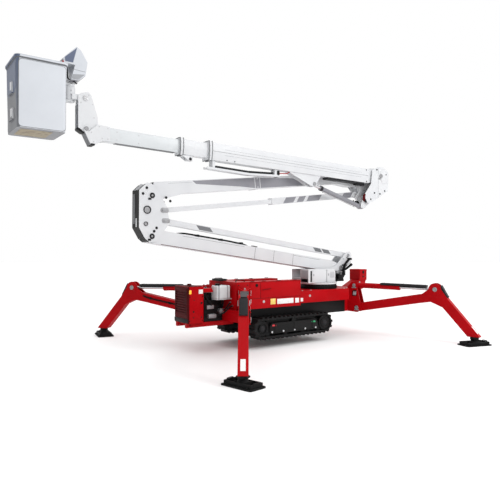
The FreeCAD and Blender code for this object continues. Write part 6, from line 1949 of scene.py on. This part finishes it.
@dataclass
class Tip:
    """Tip plates, jib and rotator: pins, bolts and edge pads."""

    boom_y: float = 0.124
    tip_half: float = 0.077
    jib_half: float = 0.058

    def build(self) -> None:
        """Builds the tip's trim."""
        low, top = pin("jib_tilt"), pin("basket_level")
        caps = Work("tip_pins")
        for side in (1, -1):
            y = self.boom_y + side * (self.tip_half + 0.0055)
            caps.lathe([(0.0, 0.003), (0.014, 0.003), (0.017, 0.006), (0.026, 0.005), (0.03, 0.0),
                        (0.0, 0.0)], (low.x, y, low.z), Y * side, 28)
        caps.become(Finish.CAST, "boom_inner")
        bolts = Work("tip_bolts")
        for side in (1, -1):
            y = self.boom_y + side * self.tip_half
            for dx, dz in ((-0.3, 0.04), (-0.3, -0.11), (-0.18, 0.05), (-0.07, -0.04), (-0.1, -0.17),
                           (-0.22, -0.11)):
                bolts.bolt((low.x + dx, y, low.z + dz), Y * side, 0.007)
        bolts.become(Finish.ZINC, "boom_inner")
        jib_caps = Work("jib_pins")
        for side in (1, -1):
            y = self.boom_y + side * (self.jib_half + 0.0055)
            jib_caps.lathe([(0.0, 0.002), (0.02, 0.002), (0.024, 0.006), (0.034, 0.005), (0.038, 0.0),
                            (0.0, 0.0)], (top.x, y, top.z), Y * side, 28)
            jib_caps.box((top.x - 0.028, y, top.z - 0.005),
                         (top.x + 0.028, y + side * 0.008, top.z + 0.005), 0.001)
        jib_caps.become(Finish.ZINC, "jib")
        jib_bolts = Work("jib_bolts")
        for side in (1, -1):
            y = self.boom_y + side * self.jib_half
            for x, z in ((3.55, 3.24), (3.42, 3.27), (3.38, 3.42), (3.56, 3.6), (3.45, 3.72), (3.4, 3.6)):
                jib_bolts.bolt((x, y, z), Y * side, 0.006)
        jib_bolts.become(Finish.ZINC, "jib")
        # Painted shade: a grey plate on the jib's front face, which looks ahead of the machine.
        edge = Work("jib_front_face_shade")
        edge.box((3.6, self.boom_y - self.jib_half + 0.002, 3.24),
                 (3.606, self.boom_y + self.jib_half - 0.002, 3.575), 0.002)
        edge.become(Finish.SHADE, "jib")
        rib = Work("jib_front_rib")
        rib.box((3.605, self.boom_y - 0.006, 3.26), (3.609, self.boom_y + 0.006, 3.56), 0.001)
        rib.become(Finish.GREY, "jib")
        lip = Work("jib_low_pad")
        low_edge = [(3.609, 3.262), (3.609, 3.232), (3.542, 3.192), (3.457, 3.187), (3.457, 3.203),
                    (3.53, 3.214), (3.575, 3.246)]
        lip.profile(low_edge, self.boom_y - self.jib_half - 0.002, 2 * self.jib_half + 0.004, 0.001)
        lip.become(Finish.BLACK, "jib")
        strap = Work("tip_edge_strap")
        strap.profile(((3.518, 3.212), (3.523, 3.21), (3.438, 3.043), (3.432, 3.046)),
                      self.boom_y - self.tip_half + 0.004, 2 * self.tip_half - 0.008, 0.0)
        strap.become(Finish.SHADE, "boom_inner")
        foot = Work("tip_foot_pad")
        foot.box((3.375, self.boom_y - self.tip_half - 0.003, 3.035),
                 (3.437, self.boom_y + self.tip_half + 0.003, 3.06), 0.006)
        foot.become(Finish.BLACK, "boom_inner")
        self.rotator()

    def rotator(self) -> None:
        """Adds the rotator's rounded housing and its ports."""
        centre = Vector((3.675, 0.06, 0.0))
        housing = Work("rotator_housing")
        housing.lathe([(0.058, 3.636), (0.066, 3.64), (0.07, 3.652), (0.07, 3.805), (0.066, 3.82),
                       (0.058, 3.827)], centre, Z, 48, closed=True)
        housing.bolts([(3.675, 0.1285, z) for z in (3.67, 3.79)], Y, 0.008)
        housing.become(Finish.WHITE, "rotator")
        ports = Work("rotator_ports")
        ports.rod((3.675, 0.12, 3.76), (3.675, 0.145, 3.76), 0.012, 0.002, 6)
        ports.rod((3.675, 0.12, 3.71), (3.675, 0.145, 3.71), 0.012, 0.002, 6)
        ports.become(Finish.ZINC, "rotator")


def rounded(points: Sequence[tuple[float, float]], radius: float,
            steps: int = 4) -> list[tuple[float, float]]:
    """An outline with its corners rounded.

    Args:
        points: the corners, in order.
        radius: how far from each corner the round starts.
        steps: points per corner.

    Returns:
        The rounded outline.
    """
    result = []
    count = len(points)
    for i in range(count):
        corner = Vector(points[i])
        before = (Vector(points[i - 1]) - corner).normalized() * radius
        after = (Vector(points[(i + 1) % count]) - corner).normalized() * radius
        for k in range(steps + 1):
            t = k / steps
            result.append(tuple(corner + before * (1 - t) ** 2 + after * t ** 2))
    return result


@dataclass
class Basket:
    """The basket's panels, rim, step treads, floor and hood."""

    middle: tuple[float, float]
    base: float = 3.145
    height: float = 0.905
    length: float = 0.602
    width: float = 0.622
    taper: float = 0.016
    steps: tuple[float, float] = (0.13, 0.47)

    def build(self) -> None:
        """Builds the basket's trim."""
        self.panels()
        self.rim()
        self.bottom()
        self.mount()
        self.hood()

    def face_point(self, side: str, across: float, rise: float, proud: float) -> Vector:
        """A point on one of the leaning faces.

        Args:
            side: "left", "right", "front" or "rear".
            across: distance from the face's middle.
            rise: height above the base.
            proud: distance outward from the face.

        Returns:
            The point in the machine's frame.
        """
        lean = self.taper * rise / self.height + proud
        x, y = self.middle
        z = self.base + rise
        if side == "left":
            return Vector((x + across, y + self.width / 2 + lean, z))
        if side == "right":
            return Vector((x - across, y - self.width / 2 - lean, z))
        if side == "front":
            return Vector((x + self.length / 2 + lean, y - across, z))
        return Vector((x - self.length / 2 - lean, y + across, z))

    def panels(self) -> None:
        """Adds a raised panel with round corners on each side, over a darker seam."""
        for side in ("left", "right"):
            for name, shrink, proud, finish in (("seam", -0.006, 0.001, Finish.SHADE),
                                                ("panel", 0.0, 0.007, Finish.BASKET)):
                half = self.length / 2 - 0.012 - shrink
                low, high = 0.012 + shrink, self.height - 0.052 - shrink
                outline = rounded([(-half, low), (half, low), (half, high), (-half, high)], 0.05, 6)
                work = Work(f"basket_{name}_{side}")
                points = [self.face_point(side, a, r, -0.022) for a, r in outline]
                out = self.face_point(side, 0, 0, 1.0) - self.face_point(side, 0, 0, 0.0)
                work.plate(points, out * (proud + 0.022), 0.002)
                work.become(finish, "basket", Slot.BASKET)
        step = Work("basket_step_ends")
        for rise in self.steps:
            face = self.face_point("front", 0, rise, 0.0)
            for side in (1, -1):
                y = sorted((face.y + side * 0.0935, face.y + side * 0.0965))
                step.box((face.x - 0.002, y[0], face.z + 0.012), (face.x + 0.02, y[1], face.z + 0.148),
                         0.001)
            step.box((face.x, face.y - 0.094, face.z + 0.149),
                     (face.x + 0.021, face.y + 0.094, face.z + 0.152), 0.001)
            step.box((face.x + 0.018, face.y + 0.01, face.z + 0.04),
                     (face.x + 0.023, face.y + 0.094, face.z + 0.146), 0.002)
        step.become(Finish.WHITE, "basket", Slot.BASKET)
        # Painted shade with a blue tint: a blue-grey plate on the basket's front face.
        front = Work("basket_front_shade")
        half = self.width / 2 - 0.05
        outline = rounded([(-half, 0.5), (half, 0.5), (half, self.height - 0.08),
                           (-half, self.height - 0.08)], 0.03)
        front.plate([self.face_point("front", a, r, -0.001) for a, r in outline], X * 0.004, 0.0)
        front.become(Finish.BLUE_GREY, "basket")

    def rim(self) -> None:
        """Adds the rolled lip on the rim and a band of painted shadow below it."""
        x, y = self.middle
        # The second ring, under the lip, is a band of painted shadow.
        for name, grow, z0, z1, finish in (("rim_lip", 0.0175, 0.0, 0.006, Finish.BASKET),
                                            ("rim_shadow", 0.006, -0.04, -0.0218, Finish.SHADE)):
            work = Work("basket_" + name)
            half_l = self.length / 2 + self.taper + grow
            half_w = self.width / 2 + self.taper + grow
            outer = rounded([(x - half_l, y - half_w), (x + half_l, y - half_w), (x + half_l, y + half_w),
                             (x - half_l, y + half_w)], 0.075, 6)
            inner = rounded([(x - half_l + 0.02, y - half_w + 0.02), (x + half_l - 0.02, y - half_w + 0.02),
                             (x + half_l - 0.02, y + half_w - 0.02),
                             (x - half_l + 0.02, y + half_w - 0.02)], 0.058, 6)
            top = self.base + self.height
            count = len(outer)
            for i in range(count):
                j = (i + 1) % count
                corners = [(*outer[i], top + z0), (*outer[j], top + z0), (*inner[j], top + z0),
                           (*inner[i], top + z0)]
                work.plate(corners, Z * (z1 - z0), 0.0)
            work.become(finish, "basket", Slot.BASKET)

    def bottom(self) -> None:
        """Adds the board under the floor and the mat inside."""
        x, y = self.middle
        half_l, half_w = self.length / 2 - 0.1, self.width / 2 - 0.1
        under = [(x + 0.04 + a * half_l, y + b * half_w) for a, b in ((-1, -1), (1, -1), (1, 1), (-1, 1))]
        board = Work("basket_board")
        board.plate([(*p, self.base - 0.0015) for p in rounded(under, 0.02)], Z * 0.003, 0.0)
        board.become(Finish.BOARD, "basket")
        mat = Work("basket_mat")
        inside = rounded([(x - half_l - 0.02, y - half_w - 0.02), (x + half_l + 0.02, y - half_w - 0.02),
                          (x + half_l + 0.02, y + half_w + 0.02), (x - half_l - 0.02, y + half_w + 0.02)],
                         0.03)
        mat.plate([(*p, self.base + 0.01) for p in inside], Z * 0.004, 0.0)
        for i in range(14):
            mx = x - half_l + 0.01 + i * (2 * half_l - 0.02) / 13
            mat.box((mx - 0.006, y - half_w, self.base + 0.013),
                    (mx + 0.006, y + half_w, self.base + 0.0165), 0.001)
        mat.become(Finish.RUBBER, "basket")

    def mount(self) -> None:
        """Adds bolts on the mount's plate and arms."""
        bolts = Work("mount_bolts")
        for y in (-0.11, 0.13):
            for z in (3.57, 3.7, 3.86, 3.985):
                bolts.bolt((3.757, y, z), -X, 0.009)
        for turn in range(6):
            angle = math.pi * turn / 3
            bolts.bolt((3.675 + 0.045 * math.cos(angle), 0.06 + 0.045 * math.sin(angle), 3.849), Z, 0.007)
        bolts.become(Finish.ZINC, "basket")

    def hood(self) -> None:
        """Adds the console, levers, stop button and hose of the control hood, and painted shade in its opening and
        on the lower part of its sides.
        """
        shell_y = (-0.15, 0.19)
        console = Work("console")
        console.profile([(3.502, 4.146), (3.61, 4.108), (3.778, 4.116), (3.79, 4.15), (3.6, 4.22),
                         (3.52, 4.215)], shell_y[0] + 0.012, shell_y[1] - shell_y[0] - 0.024, 0.004)
        console.become(Finish.GUARD, "basket")
        levers = Work("console_levers")
        for i in range(4):
            y = -0.1 + i * 0.075
            levers.rod((3.66, y, 4.19), (3.668, y, 4.235), 0.005, 0.0, 10)
            levers.lathe([(0.0, -0.012), (0.01, -0.009), (0.013, 0.0), (0.01, 0.01), (0.0, 0.013)],
                         (3.669, y, 4.242), Z, 18)
        levers.become(Finish.BLACK, "basket")
        stop = Work("stop_button")
        stop.lathe([(0.0, 0.03), (0.016, 0.028), (0.022, 0.02), (0.018, 0.01), (0.012, 0.0), (0.0, 0.0)],
                   (3.72, 0.15, 4.165), Vector((0.35, 0.0, 0.94)), 28)
        stop.rod((3.795, 0.168, 4.11), (3.795, 0.187, 4.11), 0.018, 0.004, 20)
        stop.become(Finish.RED, "basket")
        # Painted shade: a blue-grey sheet on each side where the hood is open.
        opening_shade = Work("hood_opening_shade")
        for y in (shell_y[0] - 0.002, shell_y[1]):
            opening_shade.profile(((3.618, 4.33), (3.782, 4.172), (3.775, 4.12), (3.672, 4.12)), y, 0.002, 0.0)
        opening_shade.become(Finish.BLUE_GREY, "basket", Slot.HOOD)
        # Painted shade: grey on the lower part of the hood's sides.
        lower_shade = Work("hood_lower_shade")
        for y in (shell_y[0] - 0.0015, shell_y[1]):
            lower_shade.profile(((3.6, 3.9), (3.692, 3.9), (3.674, 3.965), (3.512, 3.985)), y, 0.0015, 0.0)
        lower_shade.become(Finish.GREY, "basket", Slot.HOOD)
        seam = Work("hood_seam")
        for y in (shell_y[0] - 0.001, shell_y[1]):
            seam.profile([(3.5, 4.02), (3.66, 4.03), (3.66, 4.034), (3.5, 4.024)], y, 0.001, 0.0)
        seam.become(Finish.SHADE, "basket")
        hose = Work("hood_hose")
        hose.hose([(3.74, 0.12, 4.09), (3.735, 0.14, 4.02), (3.735, 0.15, 3.94), (3.72, 0.14, 3.905),
                   (3.66, 0.13, 3.895), (3.6, 0.128, 3.86)], 0.009)
        hose.become(Finish.HOSE, "basket")


@dataclass
class RearBox:
    """Seams, latch and bolts of the box at the tail."""

    x: tuple[float, float] = (-2.15, -1.95)
    half: float = 0.135
    z: tuple[float, float] = (1.0, 1.21)

    def build(self) -> None:
        """Builds the box's trim."""
        lid = Work("rear_box_lid")
        lid.box((self.x[0] - 0.003, -self.half - 0.003, self.z[1] - 0.03),
                (self.x[1] + 0.003, self.half + 0.003, self.z[1] + 0.004), 0.004)
        lid.become(Finish.RED, "chassis")
        latch = Work("rear_box_latch")
        for side in (1, -1):
            y = side * self.half
            latch.box((-2.07, y, 1.13), (-2.03, y + side * 0.01, 1.185), 0.003)
            latch.lathe([(0.0, 0.006), (0.014, 0.006), (0.02, 0.0), (0.0, 0.0)], (-2.05, y, 1.07), Y * side,
                        24)
        latch.become(Finish.BLACK, "chassis")
        lamps = Work("tail_lamps")
        for y in (-0.1, 0.1):
            lamps.lathe([(0.0, 0.012), (0.02, 0.01), (0.026, 0.004), (0.028, 0.0), (0.0, 0.0)],
                        (self.x[0], y, 1.06), -X, 28)
        lamps.become(Finish.RED_LENS, "chassis")
        bolts = Work("rear_box_bolts")
        for side in (1, -1):
            bolts.bolts([(x, side * (self.half - 0.02), z) for x, z in ((-1.9, 0.955), (-1.78, 0.9))],
                        Y * side, 0.009)
        bolts.become(Finish.ZINC, "chassis")


@dataclass
class Studio:
    """Floor, lights and the camera at the photograph's place."""

    camera_place: Colour = (5.861, 7.369, 1.595)
    looks_along: Colour = (-0.5803, -0.8144, 0.0)
    lens_mm: float = 38.05
    floor_radius: float = 60.0
    floor_colour: Colour = (0.93, 0.93, 0.93)
    sky_strength: float = 1.0
    ahead_dims: float = 0.6
    overhead_adds: float = 0.7

    def build(self) -> None:
        """Makes the studio."""
        self.floor()
        self.sky()
        self.camera()
        self.lamp("key", (-3.0, 8.0, 6.5), 3.0, 240.0)
        LOG.info("studio built")

    def floor(self) -> None:
        """Makes a wide round floor."""
        mesh = bmesh.new()
        bmesh.ops.create_circle(mesh, cap_ends=True, segments=96, radius=self.floor_radius)
        data = bpy.data.meshes.new("floor")
        mesh.to_mesh(data)
        mesh.free()
        piece = bpy.data.objects.new("floor", data)
        bpy.context.scene.collection.objects.link(piece)
        tree = Tree.of_material("pale_floor")
        colour = tree.mix(tree.noise(0.7, 3.0) * 0.1, self.floor_colour, (0.91, 0.91, 0.915))
        data.materials.append(tree.surface({"Base Color": colour, "Roughness": 0.75}))

    def sky(self) -> None:
        """Lights the studio from all round: brighter overhead, darker ahead of the machine."""
        world = bpy.data.worlds.new("studio")
        tree = Tree(world)
        direction = tree.node("ShaderNodeTexCoord", output="Generated")
        ahead = tree.band(tree.part(direction, "X"), 0.05, 0.8)
        overhead = tree.band(tree.part(direction, "Z"), 0.45, 0.9)
        lighting = self.sky_strength - self.ahead_dims * ahead + self.overhead_adds * overhead
        backdrop = tree.node("ShaderNodeLightPath", output="Is Camera Ray")
        strength = backdrop + (1 - backdrop) * lighting
        background = tree.node("ShaderNodeBackground", {}, {"Color": (1.0, 1.0, 1.0, 1.0),
                                                            "Strength": strength})
        output = tree.nodes.new("ShaderNodeOutputWorld")
        tree.links.new(background.socket, output.inputs["Surface"])
        bpy.context.scene.world = world
        bpy.context.scene.view_settings.view_transform = "Standard"

    def camera(self) -> None:
        """Sets the camera."""
        data = bpy.data.cameras.new("camera")
        data.lens = self.lens_mm
        piece = bpy.data.objects.new("camera", data)
        bpy.context.scene.collection.objects.link(piece)
        piece.location = self.camera_place
        piece.rotation_mode = "QUATERNION"
        piece.rotation_quaternion = Vector(self.looks_along).to_track_quat("-Z", "Y")
        bpy.context.scene.camera = piece

    def lamp(self, name: str, place: Colour, size: float, watts: float) -> None:
        """Adds a soft square lamp that looks at the machine's middle.

        Args:
            name: the lamp's name.
            place: where it hangs.
            size: its side, in metres.
            watts: its power.
        """
        data = bpy.data.lights.new(name, "AREA")
        data.size = size
        data.energy = watts
        piece = bpy.data.objects.new(name, data)
        bpy.context.scene.collection.objects.link(piece)
        piece.location = place
        piece.rotation_mode = "QUATERNION"
        piece.rotation_quaternion = (Vector((0, 0, 1.5)) - Vector(place)).to_track_quat("-Z", "Y")


def main() -> None:
    """Builds the studio and every sub-assembly, in order."""
    logging.basicConfig(level=logging.INFO, format="%(message)s")
    Studio().build()
    finishes = {"red": Finish.RED, "white": Finish.WHITE, "rubber": Finish.RUBBER,
                "black_metal": Finish.BLACK, "grey_metal": Finish.GREY, "steel": Finish.STEEL,
                "tank": Finish.TANK, "fibreglass": Finish.BOOM_SHELL, "basket": Finish.BASKET,
                "hood": Finish.BASKET}
    apart = {"rotator": Finish.WHITE, "basket_mount": Finish.WHITE, "boom_tray": Finish.WHITE,
             "luff_barrel": Finish.STRIPE}
    for part in frame["record"]["subparts"]:
        node = part["node"]
        finish = apart.get(node, finishes[part["material_slot"]])
        dress(node, finish, 0.0 if node == "engine_box" else 0.004)
    # Painted shade: the engine box's front face gets the darkened red.
    paint("engine_box", Finish.DARK_RED, lambda point: point.x > 1.9)
    # Painted shade: the keel under the deck is painted black, where shade falls between the tracks.
    paint("main_frame", Finish.BLACK, lambda point: point.z < 0.672 and point.x < 0.95)
    # Painted shade on the basket: its front face is blue-grey above and darker grey below, and its floor's
    # underside is darker grey.
    paint("basket", Finish.BLUE_GREY, lambda point: point.x > 4.37 and point.z > 3.62)
    paint("basket", Finish.BASKET_SHADE, lambda point: point.x > 4.37 and point.z <= 3.62)
    paint("basket", Finish.BASKET_SHADE, lambda point: point.z < 3.17 and point.x <= 4.37)
    # Painted shade on the control hood's underside.
    paint("console_hood", Finish.STRIPE, lambda point: point.z < 3.955)
    # Painted shade: the arms' end faces at the knuckle are painted black, where shade falls between the arms and
    # the knuckle.
    paint("upper_arm", Finish.BLACK, lambda point: point.x > 2.42)
    paint("lower_arm", Finish.BLACK, lambda point: point.x > 2.49)
    pieces: list = [Tracks(), Covers(), EngineEnd(), RearBox(), Turret(), Pantograph(), Head(), LuffRam(),
                    Boom(), Tip(), Basket(middle=BASKET_MIDDLE)]
    pieces += [Outrigger(f"{end}_{side}") for end in ("front", "rear") for side in ("left", "right")]
    for piece in pieces:
        piece.build()
        LOG.info("built %s", type(piece).__name__)


if __name__ == "__main__":
    main()
